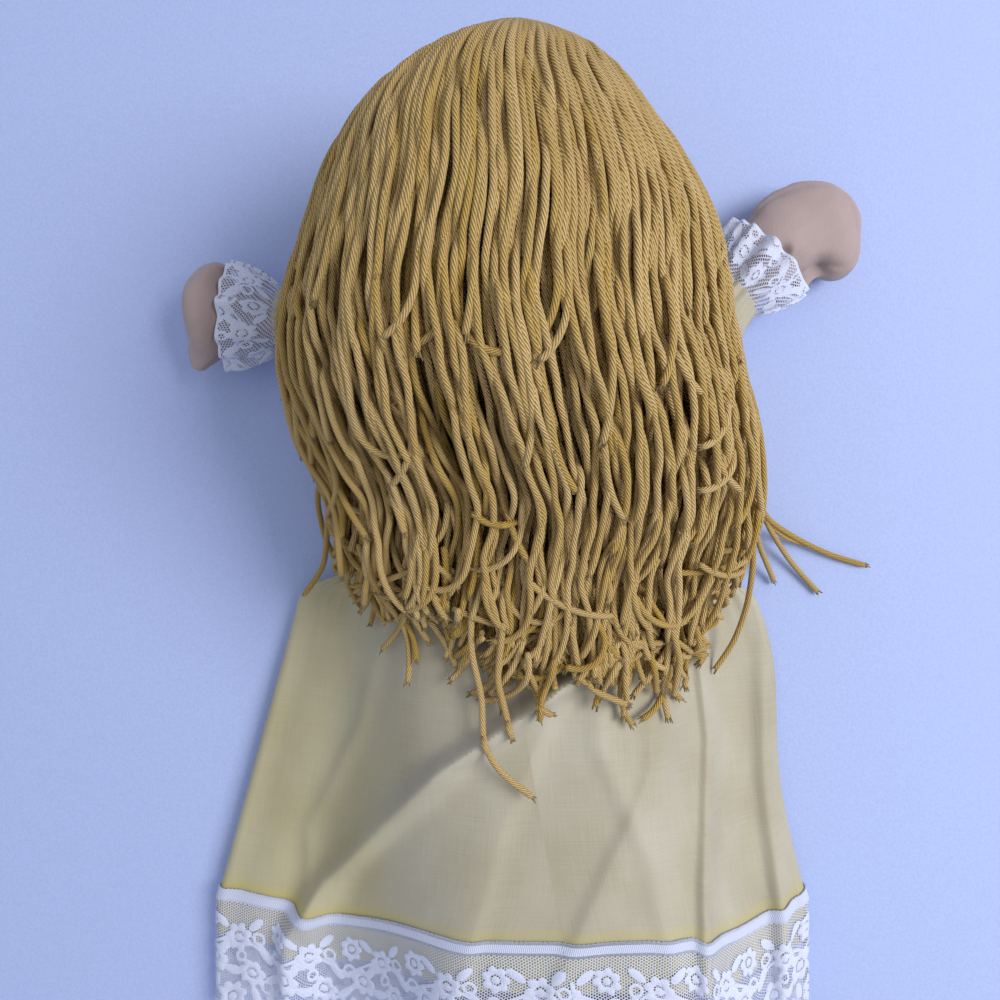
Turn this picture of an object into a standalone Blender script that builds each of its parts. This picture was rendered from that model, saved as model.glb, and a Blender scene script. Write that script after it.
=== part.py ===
"""Rag doll lying face down: stuffed cloth body, jointed limbs, yarn hair and a lace-trimmed dress.

Units are metres. +Y points to the crown of the head, +X to the doll's own right hand side and +Z
up. The doll lies on Z = 0 and the origin is the flat of the chest. Every stuffed form is a row of
rings along the limb, subdivided once.
"""

import math
from collections import namedtuple

import bmesh
import bpy
from mathutils import Vector

# Clearances and cloth
GAP = 0.0003            # between pieces that touch
EASE = 0.0008           # between a stuffed piece and the cloth over it
CLOTH = 0.0008          # wall of the bodice, sleeves and lace
SKIRT_CLOTH = 0.0010    # wall of the gathered skirt
REST_FLAT = 0.0005      # how deep a stuffed form is pressed flat where it rests
OVERRUN = 0.02          # how far a cutter runs past what it cuts

# Torso
TORSO_WIDTH = 0.083
TORSO_DEPTH = 0.046
TORSO_TOP_Y = 0.021
HIP_SEAM_Y = -0.060
HIP_SEAM_THICKNESS = 0.005

# Neck and head
NECK_WIDTH = 0.030
NECK_LENGTH = 0.016
NECK_HEIGHT = 0.028
NECK_HINGE_Y = 0.0225
HEAD_WIDTH = 0.106
HEAD_LENGTH = 0.110
HEAD_DEPTH = 0.099
HEAD_CENTRE_Y = 0.079

# Face
EYE_LENGTH = 0.0105
EYE_WIDTH = 0.0075
EYE_SPREAD = 0.019
EYE_LINE_Y = 0.081
MOUTH_WIDTH = 0.020
MOUTH_DROP = 0.006
MOUTH_LINE_Y = 0.058
THREAD = 0.0010

# Arms and hands
ARM_WIDTH = 0.024
ARM_LENGTH = 0.138
SHOULDER_Y = 0.007
SHOULDER_HEIGHT = 0.0245
SHOULDER_SEAT = 0.0017   # how far the arm's round top sits in beside the chest
WRIST_HEIGHT = 0.0165
HAND_WIDTH = 0.038
HAND_DEPTH = 0.021
HAND_LENGTH = 0.034
THUMB_LENGTH = 0.024
THUMB_WIDTH = 0.012

# Legs and feet
LEG_WIDTH = 0.044
LEG_DEPTH = 0.037
LEG_LENGTH = 0.216
LEG_HEIGHT = 0.0215
LEG_SPREAD = 0.0222
FOOT_WIDTH = 0.040
FOOT_LENGTH = 0.042

# Dress
WAIST_Y = -0.006
WAISTBAND = 0.005
WAIST_FLARE = 0.028
SKIRT_WAIST_WIDTH = 0.090
SKIRT_TOP_WIDTH = 0.172
SKIRT_HEM_WIDTH = 0.238
SKIRT_FULL_Y = -0.036
SKIRT_HEM_Y = -0.176
SKIRT_EDGE_ROUND = 0.0035
SKIRT_CREST = 0.0515
SKIRT_HEM_CREST = 0.0440
SKIRT_HUMP_WIDTH = 0.140
FOLD_HEIGHT = 0.0055
PLACKET_GAP = 0.0006
HEM_BAND_Y = -0.157
HEM_BAND_WIDTH = 0.0045
LACE_END_Y = -0.206
SLEEVE_START = 0.008
SLEEVE_EASE = 0.0012
CUFF_WIDTH = 0.040
CUFF_DEPTH = 0.0290
CUFF_LENGTH = 0.020
NECKLINE_Y = 0.0110

# Yarn hair
CAP_THICKNESS = 0.0028
CAP_RIM_HEIGHT = 0.0165
NAPE_LINE_Y = 0.048
HAIR_TOP = 0.122
HAIR_RIM_HEIGHT = 0.0405
HAIR_RIM_THICKNESS = 0.006
HAIR_CROWN_Y = 0.148
HAIR_NAPE_Y = 0.006
HAIR_LENGTH_Y = -0.068
HAIR_BACK_HEIGHT = 0.0515
HAIR_BACK_WIDTH = 0.075
HAIR_DROOP_Y = -0.012
HAIR_DROOP_LENGTH = 0.035
HAIR_DROOP_HEIGHT = 0.022
FRINGE_START_Y = 0.100
FRINGE_HEIGHT = 0.012
LOCK_GAP = 0.0006

# Counts
RING_SIDES = 10
HEADING_STEPS = 60
SKIRT_STEPS_ROUND = (11, 3, 13)
HAIR_STEPS = (16, 16)
LOCK_STEPS = ((6, 6), (5, 6), (10, 8))

# Angles, in degrees: the arms' turns from the doll's side, then the legs' lean from the middle line
RIGHT_ARM_HEADINGS = (71.0, 46.0, -15.0)
LEFT_ARM_HEADINGS = (73.0, 4.0, -6.0)
RIGHT_LEG_LEAN = 13.0
LEFT_LEG_LEAN = 7.0
THUMB_TURN = 85.0
BODICE_FRONT = (205.0, 335.0)
BODICE_LEFT = (25.0, 89.2)
BODICE_RIGHT = (90.8, 155.0)
CLOTH_STEP = 22.0

# Forms as shares of the sizes above: along, width, depth, and for limbs the height
TORSO_SHARES = (
    (0.00, 0.40, 0.42), (0.05, 0.66, 0.66), (0.13, 0.92, 0.88), (0.24, 1.00, 1.03),
    (0.33, 0.98, 0.97), (0.42, 0.94, 0.85), (0.55, 0.94, 0.80), (0.70, 0.99, 0.76),
    (0.84, 1.04, 0.58), (0.94, 1.04, 0.28),
)
HEAD_SHARES = (
    (0.00, 0.30, 0.36), (0.05, 0.50, 0.52), (0.16, 0.79, 0.79), (0.32, 0.96, 0.965),
    (0.50, 1.02, 1.02), (0.68, 0.96, 0.965), (0.83, 0.79, 0.79), (0.94, 0.50, 0.52),
    (1.00, 0.22, 0.24),
)
ROUND_END_SHARES = ((1.00, 0.28), (0.80, 0.62), (0.45, 0.90), (0.00, 1.00))
NECK_SHARES = ((0.00, 0.90), (0.40, 0.94), (0.72, 0.955))
ELBOW_TURN_SHARES = (0.36, 0.56)
WRIST_TURN_SHARES = (0.74, 1.00)
ARM_SHARES = (
    (0.18, 1.02, 1.02), (0.33, 1.00, 1.00), (0.42, 0.96, 0.96), (0.50, 0.93, 0.92),
    (0.58, 0.90, 0.88), (0.67, 0.80, 0.74),
)
RIGHT_HAND_SHARES = (
    (0.74, 0.64, 0.62), (0.79, 0.86, 0.92), (0.84, 0.99, 1.02), (0.90, 1.00, 1.00),
    (0.96, 0.78, 0.80), (1.00, 0.36, 0.38),
)
# The left hand is bent at the wrist and stands on its fingers: its length counts as depth
LEFT_HAND_SHARES = (
    (0.735, 0.62, 0.40), (0.765, 0.90, 0.84), (0.795, 1.00, 1.04), (0.825, 0.94, 0.98),
    (0.850, 0.62, 0.62), (0.858, 0.30, 0.30),
)
SLEEVE_END_SHARE = 0.60
CUFF_SHARES = ((0.00, 0.00), (0.35, 0.58), (0.70, 0.90), (1.00, 1.00))
THUMB_START_SHARE = 0.815
THUMB_SHARES = ((0.00, 0.80), (0.35, 1.00), (0.75, 0.92), (1.00, 0.46))
LEG_SHARES = (
    (0.035, 0.97, 0.36), (0.075, 1.03, 0.70), (0.14, 1.04, 0.95), (0.28, 1.04, 1.00),
    (0.45, 1.03, 0.98), (0.62, 0.98, 0.96), (0.76, 0.84, 0.86), (0.86, 0.70, 0.76),
)
LEG_SINK_SHARE = 0.3
FOOT_SHARES = ((0.92, 0.86, 0.94), (0.965, 1.04, 1.08), (1.00, 0.72, 0.74))
HAIR_PLAN_SHARES = (
    (1.00, -0.10, 0.10), (0.94, -0.26, 0.28), (0.87, -0.36, 0.34), (0.72, -0.455, 0.45),
    (0.56, -0.50, 0.48), (0.42, -0.49, 0.52), (0.30, -0.43, 0.54), (0.21, -0.42, 0.53),
    (0.12, -0.38, 0.51), (0.05, -0.30, 0.47), (0.00, -0.20, 0.39),
)
HAIR_PLAN_WIDTH = 0.168
HAIR_CREST_SHARES = (
    (1.00, 0.55), (0.94, 0.76), (0.86, 0.90), (0.72, 0.99), (0.64, 1.00), (0.50, 0.96),
    (0.40, 0.86), (0.30, 0.74), (0.20, 0.64), (0.10, 0.60), (0.00, 0.565),
)
FRINGE_TAPER_SHARE = 0.90
LOCK_EDGE_SHARES = (-0.50, -0.15)
LOCK_END_SHARES = (0.13, 0.10, 0.01)
SLEEVE_GATHER_SHARE = 0.10
HUMP_SHARE = 0.62
BODICE_ROW_SHARES = (0.0, 0.3, 0.6, 1.0)
SKIRT_ROW_SHARES = (0.0, 0.044, 0.099, 0.168, 0.278, 0.415, 0.58, 0.76, 0.897, 1.0)
# Skirt folds: width, height, and where each runs as places down and across the skirt
SKIRT_FOLD_SHARES = (
    (0.050, 1.0, ((0.15, 0.42), (0.26, 0.198), (0.435, -0.215), (0.675, -0.613), (0.818, -0.75))),
    (0.032, 0.8, ((0.226, 0.60), (0.658, 0.59))),
    (0.030, 0.9, ((0.508, 0.86), (0.752, 0.90))),
    (0.040, 0.5, ((0.282, -0.62), (0.846, -0.86))),
)

# Colours (red, green, blue) and roughness
COTTON_SKIN = ((0.78, 0.56, 0.49), 0.85)
YARN = ((0.42, 0.28, 0.11), 0.90)
VOILE = ((0.76, 0.73, 0.52), 0.80)
LACE = ((0.80, 0.82, 0.90), 0.80)
EYE_THREAD = ((0.07, 0.05, 0.05), 0.55)
MOUTH_THREAD = ((0.45, 0.10, 0.10), 0.60)

LOCK_NAMES = ("hair_fall_left", "hair_fall_middle", "hair_fall_right")

Station = namedtuple("Station", "centre heading half_width half_depth")

PARTS = bpy.data.collections.new("rag_doll")
CUTTERS = bpy.data.collections.new("cutters")


def clear_scene():
    """Removes what the new file holds, and links the two collections."""
    for obj in list(bpy.data.objects):
        bpy.data.objects.remove(obj, do_unlink=True)
    for collection in (PARTS, CUTTERS):
        bpy.context.scene.collection.children.link(collection)


def material(name, finish):
    """One Principled material for one piece, from its colour and roughness."""
    colour, roughness = finish
    made = bpy.data.materials.new(name)
    made.use_nodes = True
    shader = made.node_tree.nodes["Principled BSDF"]
    shader.inputs["Base Color"].default_value = (*colour, 1.0)
    shader.inputs["Roughness"].default_value = roughness
    made.diffuse_color = (*colour, 1.0)
    return made


def add_object(name, mesh, finish=None, origin=Vector((0, 0, 0)), parent=None):
    """Links a bmesh as an object with its origin at the given point. Without a finish it is a cutter."""
    bmesh.ops.recalc_face_normals(mesh, faces=mesh.faces)
    for vertex in mesh.verts:
        vertex.co -= origin
    data = bpy.data.meshes.new(name)
    mesh.to_mesh(data)
    mesh.free()
    data.shade_smooth()
    obj = bpy.data.objects.new(name, data)
    obj.location = origin
    if finish:
        data.materials.append(material(name, finish))
        PARTS.objects.link(obj)
    else:
        obj.hide_render = True
        obj.display_type = "WIRE"
        CUTTERS.objects.link(obj)
    if parent:
        obj.parent = parent
        obj.location = origin - parent.location
    return obj


def add_pivot(name, place):
    """An empty on a joint's axis, which the pieces that move there are parented to."""
    pivot = bpy.data.objects.new(name, None)
    pivot.location = place
    pivot.empty_display_size = NECK_WIDTH
    PARTS.objects.link(pivot)
    return pivot


def subdivide(obj):
    """Rounds a coarse cage once."""
    rounded = obj.modifiers.new("rounded", "SUBSURF")
    rounded.levels = 1
    rounded.render_levels = 1


def thicken(obj, thickness, outward):
    """Gives an open sheet its wall, to the outside or to the inside of its faces."""
    wall = obj.modifiers.new("wall", "SOLIDIFY")
    wall.thickness = thickness
    wall.offset = 1.0 if outward else -1.0
    wall.use_even_offset = True
    wall.use_rim = True


def cut(obj, cutter, operation="DIFFERENCE"):
    """An exact Boolean with a cutter, or a union with a helper."""
    boolean = obj.modifiers.new(cutter.name, "BOOLEAN")
    boolean.object = cutter
    boolean.operation = operation
    boolean.solver = "EXACT"


def share_at(table, along, column):
    """A value of a table of shares, read between its rows in a straight line."""
    rows = sorted(table)
    if along <= rows[0][0]:
        return rows[0][column]
    for low, high in zip(rows, rows[1:]):
        if along <= high[0]:
            part = (along - low[0]) / (high[0] - low[0])
            return low[column] + part * (high[column] - low[column])
    return rows[-1][column]


def smooth(value):
    """Goes from 0 to 1 with level ends as the value goes from 0 to 1."""
    held = min(max(value, 0.0), 1.0)
    return held * held * (3.0 - 2.0 * held)


def ring_points(station, angles, swell=1.0):
    """Points of an upright ellipse square to the station's heading, at the angles from its side."""
    side = Vector((math.sin(station.heading), -math.cos(station.heading), 0))
    up = Vector((0, 0, 1))
    return [
        station.centre
        + side * math.cos(angle) * station.half_width * swell
        + up * math.sin(angle) * station.half_depth * swell
        for angle in angles
    ]


def grown(stations, by):
    """The same stations with every radius, and both ends, further out."""
    wider = [
        Station(at.centre, at.heading, at.half_width + by, at.half_depth + by)
        for at in stations
    ]
    for index, away in ((0, -by), (-1, by)):
        at = wider[index]
        along = Vector((math.cos(at.heading), math.sin(at.heading), 0))
        wider[index] = at._replace(centre=at.centre + along * away)
    return wider


def ring_grid(mesh, stations, angles, closed):
    """Rings of vertices joined by four-sided faces, swelled by what rounding them takes off."""
    swell = 3.0 / (2.0 + math.cos(angles[1] - angles[0]))
    rings = [
        [mesh.verts.new(point) for point in ring_points(at, angles, swell)]
        for at in stations
    ]
    count = len(angles)
    for lower, upper in zip(rings, rings[1:]):
        for index in range(count if closed else count - 1):
            after = (index + 1) % count
            mesh.faces.new((lower[index], lower[after], upper[after], upper[index]))
    return rings


def stuffed(name, stations, finish=None, origin=Vector((0, 0, 0)), parent=None):
    """A stuffed form: a coarse cage of rings with closed ends, rounded once."""
    mesh = bmesh.new()
    angles = [2.0 * math.pi * index / RING_SIDES for index in range(RING_SIDES)]
    rings = ring_grid(mesh, stations, angles, closed=True)
    mesh.faces.new(rings[0])
    mesh.faces.new(rings[-1])
    obj = add_object(name, mesh, finish, origin, parent)
    subdivide(obj)
    return obj


def cloth_over(name, stations, degrees, wall, finish, origin=Vector((0, 0, 0)), parent=None):
    """A piece of cloth over a stuffed form, from one angle round it to another."""
    start, stop = (math.radians(angle) for angle in degrees)
    whole = stop - start > 2.0 * math.pi * (1.0 - 1.0 / RING_SIDES)
    count = RING_SIDES if whole else round((stop - start) / math.radians(CLOTH_STEP))
    angles = [start + (stop - start) * index / count for index in range(count + 1)]
    mesh = bmesh.new()
    ring_grid(mesh, stations, angles[:-1] if whole else angles, closed=whole)
    obj = add_object(name, mesh, finish, origin, parent)
    outward_faces(obj, stations)
    subdivide(obj)
    thicken(obj, wall, outward=True)
    return obj


def outward_faces(obj, stations):
    """Turns an open sheet so that its faces point away from the form that it covers."""
    centre = sum((at.centre for at in stations), Vector((0, 0, 0))) / len(stations)
    centre -= obj.matrix_basis.translation
    if obj.parent:
        centre -= obj.parent.location
    facing = sum(
        (face.center - centre).dot(face.normal) * face.area for face in obj.data.polygons
    )
    if facing < 0:
        obj.data.flip_normals()


def box(name, low, high):
    """A box cutter between two corners."""
    mesh = bmesh.new()
    bmesh.ops.create_cube(mesh, size=1.0)
    size = high - low
    for vertex in mesh.verts:
        vertex.co = Vector(
            (vertex.co[axis] + 0.5) * size[axis] + low[axis] for axis in range(3)
        )
    return add_object(name, mesh)


def table_cutter():
    """Everything under the surface that the doll lies on."""
    reach = HEAD_WIDTH + ARM_LENGTH + LEG_LENGTH
    return box("table", Vector((-reach, -reach, -OVERRUN)), Vector((reach, reach, 0)))


def torso_height():
    """Height of the torso's middle, over its own cloth pressed on the table."""
    return TORSO_DEPTH / 2 + EASE + CLOTH - REST_FLAT


def torso_stations():
    """Rings from the shoulders down to the flat hip seam."""
    length = TORSO_TOP_Y - HIP_SEAM_Y
    rows = [
        Station(
            Vector((0, TORSO_TOP_Y - along * length, torso_height())),
            -math.pi / 2,
            width * TORSO_WIDTH / 2,
            depth * TORSO_DEPTH / 2,
        )
        for along, width, depth in TORSO_SHARES
    ]
    seam = Vector((0, HIP_SEAM_Y, torso_height()))
    last = rows[-1].half_width
    return rows + [Station(seam, -math.pi / 2, last, HIP_SEAM_THICKNESS / 2)]


def head_height():
    """Height of the head's middle with the face pressed flat on the table."""
    return HEAD_DEPTH / 2 - REST_FLAT


def head_stations():
    """Rings from the chin up to the crown."""
    chin = HEAD_CENTRE_Y - HEAD_LENGTH / 2
    return [
        Station(
            Vector((0, chin + along * HEAD_LENGTH, head_height())),
            math.pi / 2,
            width * HEAD_WIDTH / 2,
            depth * HEAD_DEPTH / 2,
        )
        for along, width, depth in HEAD_SHARES
    ]


def torso_depth_at(y, extra):
    """Half the torso's depth at a place along it, and how much cloth lies over it."""
    along = (TORSO_TOP_Y - y) / (TORSO_TOP_Y - HIP_SEAM_Y)
    return share_at(TORSO_SHARES, along, 2) * TORSO_DEPTH / 2 + extra


def make_torso(table):
    torso = stuffed("torso", torso_stations(), COTTON_SKIN)
    cut(torso, table)


def make_neck():
    """A short stuffed tube on the torso, with a round end that the head turns on."""
    start = NECK_HINGE_Y - NECK_LENGTH
    radius = NECK_WIDTH / 2
    rows = [(start + along * NECK_LENGTH, wide * radius) for along, wide in NECK_SHARES]
    rows += [
        (NECK_HINGE_Y + away * radius, wide * radius)
        for away, wide in reversed(ROUND_END_SHARES)
    ]
    stations = [
        Station(Vector((0, y, NECK_HEIGHT)), math.pi / 2, half, half) for y, half in rows
    ]
    neck = stuffed("neck", stations, COTTON_SKIN)
    cut(neck, stuffed("torso_room", grown(torso_stations(), GAP)))


def neck_socket():
    """The hollow under the chin: a drum round the nod's axis, a gap larger than the neck's end."""
    mesh = bmesh.new()
    bmesh.ops.create_cone(
        mesh,
        cap_ends=True,
        segments=4 * RING_SIDES,
        radius1=NECK_WIDTH / 2 + GAP,
        radius2=NECK_WIDTH / 2 + GAP,
        depth=NECK_WIDTH + 2 * GAP,
    )
    place = Vector((0, NECK_HINGE_Y, NECK_HEIGHT))
    for vertex in mesh.verts:
        vertex.co = Vector((vertex.co.z, vertex.co.x, vertex.co.y)) + place
    return add_object("neck_socket", mesh)


def make_head(pivot, table):
    head = stuffed("head", head_stations(), COTTON_SKIN, pivot.location.copy(), pivot)
    cut(head, table)
    cut(head, neck_socket())


def on_face(name, outline, finish, pivot):
    """Stitching of one thread's thickness that follows the face inside an outline."""
    low, high = -OVERRUN, head_height()
    mesh = bmesh.new()
    floor = mesh.faces.new([mesh.verts.new((x, y, low)) for x, y in outline])
    made = bmesh.ops.extrude_face_region(mesh, geom=[floor])
    for item in made["geom"]:
        if isinstance(item, bmesh.types.BMVert):
            item.co.z = high
    stitched = add_object(name, mesh, finish, pivot.location.copy(), pivot)
    outer = stuffed(name + "_outside", grown(head_stations(), GAP + THREAD))
    cut(stitched, outer, "INTERSECT")
    cut(stitched, stuffed(name + "_inside", grown(head_stations(), GAP)))


def make_face(pivot):
    """Two oval stitched eyes and a small curved mouth."""
    for name, side in (("eye_left", -1), ("eye_right", 1)):
        turns = [2 * math.pi * index / (2 * RING_SIDES) for index in range(2 * RING_SIDES)]
        outline = [
            (
                side * EYE_SPREAD + EYE_WIDTH / 2 * math.cos(turn),
                EYE_LINE_Y + EYE_LENGTH / 2 * math.sin(turn),
            )
            for turn in turns
        ]
        on_face(name, outline, EYE_THREAD, pivot)
    on_face("mouth", mouth_outline(), MOUTH_THREAD, pivot)


def mouth_outline():
    """A shallow arc of thread, lower in the middle, as a closed line down one side and back."""
    steps = [2 * index / RING_SIDES - 1 for index in range(RING_SIDES + 1)]
    upper = [
        (across * MOUTH_WIDTH / 2, MOUTH_LINE_Y + MOUTH_DROP * across * across + THREAD / 2)
        for across in steps
    ]
    return upper + [(x, y - THREAD) for x, y in reversed(upper)]


def shoulder_place(side):
    """The joint in the armhole: the arm's round top just clears the torso's side there."""
    radius = ARM_WIDTH / 2
    return Vector((side * (TORSO_WIDTH / 2 + radius - SHOULDER_SEAT), SHOULDER_Y, SHOULDER_HEIGHT))


def hand_shares(side):
    return RIGHT_HAND_SHARES if side > 0 else LEFT_HAND_SHARES


def hand_depth(side):
    """The hand's upright size: its own thickness, or its length where it is bent down."""
    return HAND_DEPTH if side > 0 else HAND_LENGTH


def turned(along, shares):
    """How far a bend between two places along the arm has gone."""
    start, stop = shares
    return smooth((along - start) / (stop - start))


def arm_heading(side, along):
    """The arm's heading in plan: along the upper arm, then the forearm, then the hand."""
    upper, fore, hand = RIGHT_ARM_HEADINGS if side > 0 else LEFT_ARM_HEADINGS
    angle = upper + (fore - upper) * turned(along, ELBOW_TURN_SHARES)
    angle += (hand - fore) * turned(along, WRIST_TURN_SHARES)
    heading = math.radians(angle)
    return heading if side > 0 else math.pi - heading


def arm_point(side, along):
    """A point on the arm's middle line, summed in small steps from the shoulder."""
    point = shoulder_place(side)
    step = ARM_LENGTH * along / HEADING_STEPS
    for index in range(HEADING_STEPS):
        heading = arm_heading(side, along * (index + 0.5) / HEADING_STEPS)
        point += Vector((math.cos(heading), math.sin(heading), 0)) * step
    wrist, _, palm = (row[0] for row in hand_shares(side)[:3])
    limb = SHOULDER_HEIGHT + (WRIST_HEIGHT - SHOULDER_HEIGHT) * smooth(along / wrist)
    rest = hand_depth(side) / 2 - REST_FLAT
    point.z = limb + (rest - limb) * turned(along, (wrist, palm))
    return point


def arm_station(side, along, half_width, half_depth):
    return Station(arm_point(side, along), arm_heading(side, along), half_width, half_depth)


def shoulder_stations(side, radius):
    """Rings of a half ball round the joint, so that the arm's top turns in place."""
    heading = arm_heading(side, 0)
    back = Vector((math.cos(heading), math.sin(heading), 0))
    return [
        Station(shoulder_place(side) - back * away * radius, heading, wide * radius, wide * radius)
        for away, wide in ROUND_END_SHARES
    ]


def arm_stations(side):
    """Rings of the arm from its round top to the hand's end."""
    radius = ARM_WIDTH / 2
    rows = shoulder_stations(side, radius)
    rows += [
        arm_station(side, along, width * radius, depth * radius)
        for along, width, depth in ARM_SHARES
    ]
    rows += [
        arm_station(side, along, width * HAND_WIDTH / 2, depth * hand_depth(side) / 2)
        for along, width, depth in hand_shares(side)
    ]
    return rows


def thumb_stations(side):
    """A short lobe from the heel of the hand, turned away from the fingers."""
    root = arm_point(side, THUMB_START_SHARE)
    heading = arm_heading(side, THUMB_START_SHARE) - math.radians(THUMB_TURN) * side
    away = Vector((math.cos(heading), math.sin(heading), 0))
    return [
        Station(
            root + away * along * THUMB_LENGTH,
            heading,
            wide * THUMB_WIDTH / 2,
            wide * THUMB_WIDTH / 2,
        )
        for along, wide in THUMB_SHARES
    ]


def make_arm(name, side, pivot, table):
    """One stuffed arm with its mitten hand and thumb."""
    thumb = stuffed(name + "_thumb", thumb_stations(side))
    arm = stuffed(name, arm_stations(side), COTTON_SKIN, pivot.location.copy(), pivot)
    cut(arm, thumb, "UNION")
    cut(arm, table)


def sleeve_station(side, along):
    """A ring of the sleeve: loose round the arm, and gathered close to it at the wrist."""
    radius = ARM_WIDTH / 2
    width = share_at(ARM_SHARES, along, 1) * radius
    depth = share_at(ARM_SHARES, along, 2) * radius
    ease = GAP + SLEEVE_EASE * min((SLEEVE_END_SHARE - along) / SLEEVE_GATHER_SHARE, 1.0)
    return arm_station(side, along, width + ease, depth + ease)


def make_sleeve(name, side, pivot):
    """A loose tube of voile from the armhole to the wrist."""
    places = [SLEEVE_START / ARM_LENGTH]
    places += [along for along, _, _ in ARM_SHARES if along < SLEEVE_END_SHARE]
    rows = [sleeve_station(side, along) for along in places + [SLEEVE_END_SHARE]]
    cloth_over(name, rows, (0, 360), CLOTH, VOILE, pivot.location.copy(), pivot)


def cuff_stations(side):
    """Rings of the gathered lace, from the sleeve's end over the heel of the hand."""
    start = sleeve_station(side, SLEEVE_END_SHARE)
    rows = []
    for step, flare in CUFF_SHARES:
        along = SLEEVE_END_SHARE + (GAP + CLOTH + step * CUFF_LENGTH) / ARM_LENGTH
        width = start.half_width + (CUFF_WIDTH / 2 - start.half_width) * flare
        depth = start.half_depth + (CUFF_DEPTH / 2 - start.half_depth) * flare
        station = arm_station(side, along, width, depth)
        lifted = station.centre.copy()
        lifted.z = max(lifted.z, depth + CLOTH + GAP)
        rows.append(station._replace(centre=lifted))
    return rows


def make_cuff(name, side, pivot):
    cloth_over(
        name, cuff_stations(side), (0, 360), CLOTH, LACE, pivot.location.copy(), pivot
    )


def leg_slope(side):
    """How far the leg goes to the doll's right for each step down it."""
    return math.tan(math.radians(RIGHT_LEG_LEAN if side > 0 else LEFT_LEG_LEAN))


def hip_place(side):
    """The hinge in the hip seam: the middle of the leg's narrow rolled top."""
    roll = HIP_SEAM_THICKNESS / 2
    return Vector((side * LEG_SPREAD, HIP_SEAM_Y - GAP - roll, torso_height()))


def leg_point(side, down, height):
    """A point on the leg's middle line, at a distance down from the hinge."""
    place = hip_place(side)
    return Vector((place.x + leg_slope(side) * down, place.y - down, height))


def leg_height(along):
    """Height of the leg's middle: level with the hip seam, then sinking to the table."""
    return torso_height() + (LEG_HEIGHT - torso_height()) * smooth(along / LEG_SINK_SHARE)


def leg_stations(side):
    """Rings from the rolled hip seam down to the ankle, then round the sole of the foot."""
    roll = HIP_SEAM_THICKNESS / 2
    wide = LEG_SHARES[0][1] * LEG_WIDTH / 2
    rows = [
        Station(leg_point(side, -away * roll, torso_height()), -math.pi / 2, wide, deep * roll)
        for away, deep in ROUND_END_SHARES
    ]
    for along, width, depth in LEG_SHARES:
        centre = leg_point(side, along * LEG_LENGTH, leg_height(along))
        rows.append(Station(centre, -math.pi / 2, width * LEG_WIDTH / 2, depth * LEG_DEPTH / 2))
    for along, width, depth in FOOT_SHARES:
        centre = leg_point(side, along * LEG_LENGTH, FOOT_LENGTH / 2 - REST_FLAT)
        rows.append(Station(centre, -math.pi / 2, width * FOOT_WIDTH / 2, depth * FOOT_LENGTH / 2))
    return rows


def make_leg(name, side, pivot, table):
    leg = stuffed(name, leg_stations(side), COTTON_SKIN, pivot.location.copy(), pivot)
    cut(leg, table)


def dress_station(y):
    """A ring of the dress over the torso, with some ease."""
    along = (TORSO_TOP_Y - y) / (TORSO_TOP_Y - HIP_SEAM_Y)
    return Station(
        Vector((0, y, torso_height())),
        -math.pi / 2,
        share_at(TORSO_SHARES, along, 1) * TORSO_WIDTH / 2 + EASE,
        share_at(TORSO_SHARES, along, 2) * TORSO_DEPTH / 2 + EASE,
    )


def make_bodice(table):
    """A front and two backs from the neckline to the waist, which close at the middle."""
    rows = [
        dress_station(NECKLINE_Y + (WAIST_Y - NECKLINE_Y) * share) for share in BODICE_ROW_SHARES
    ]
    front = cloth_over("bodice_front", rows, BODICE_FRONT, CLOTH, VOILE)
    cut(front, table)
    cloth_over("bodice_back_left", rows, BODICE_LEFT, CLOTH, VOILE)
    cloth_over("bodice_back_right", rows, BODICE_RIGHT, CLOTH, VOILE)


def make_waistband():
    """A narrow band round the waist, between the bodice and the gathers."""
    top = WAIST_Y - GAP
    rows = [dress_station(top - WAISTBAND * step / 2) for step in range(3)]
    cloth_over("waistband", rows, (0, 360), CLOTH, VOILE)


def skirt_top_y():
    """The skirt's gathered edge, just under the waistband."""
    return WAIST_Y - WAISTBAND - 3 * GAP


def skirt_half_width(y):
    """Half the skirt's width: the waist, a quick flare, then a slow one down to the hem."""
    start = skirt_top_y()
    quick = smooth((start - y) / (start - SKIRT_FULL_Y))
    slow = (SKIRT_FULL_Y - y) / (SKIRT_FULL_Y - HEM_BAND_Y)
    width = SKIRT_WAIST_WIDTH + (SKIRT_TOP_WIDTH - SKIRT_WAIST_WIDTH) * quick
    return (width + (SKIRT_HEM_WIDTH - SKIRT_TOP_WIDTH) * max(slow, 0)) / 2


def skirt_middle(y):
    """The line between the legs, which the skirt's crest and its opening follow as they lean."""
    slope = (leg_slope(1) + leg_slope(-1)) / 2
    return slope * max(HIP_SEAM_Y - y, 0)


def skirt_folds(x, y):
    """The back's main folds: a long slanting one, and upright ones nearer the sides."""
    down = (WAIST_Y - y) / (WAIST_Y - LACE_END_Y)
    total = 0.0
    for width, height, path in SKIRT_FOLD_SHARES:
        centre = share_at(path, down, 1) * SKIRT_HEM_WIDTH / 2
        away = (x - centre) / (width * SKIRT_HEM_WIDTH)
        shown = smooth(1.0 - (path[0][0] - down) / path[0][0])
        total += height * math.exp(-away * away) * shown
    return total * FOLD_HEIGHT


def skirt_floor():
    """Height of the skirt's front, over the band and lace that lie under its hem."""
    return GAP + CLOTH + GAP


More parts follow.
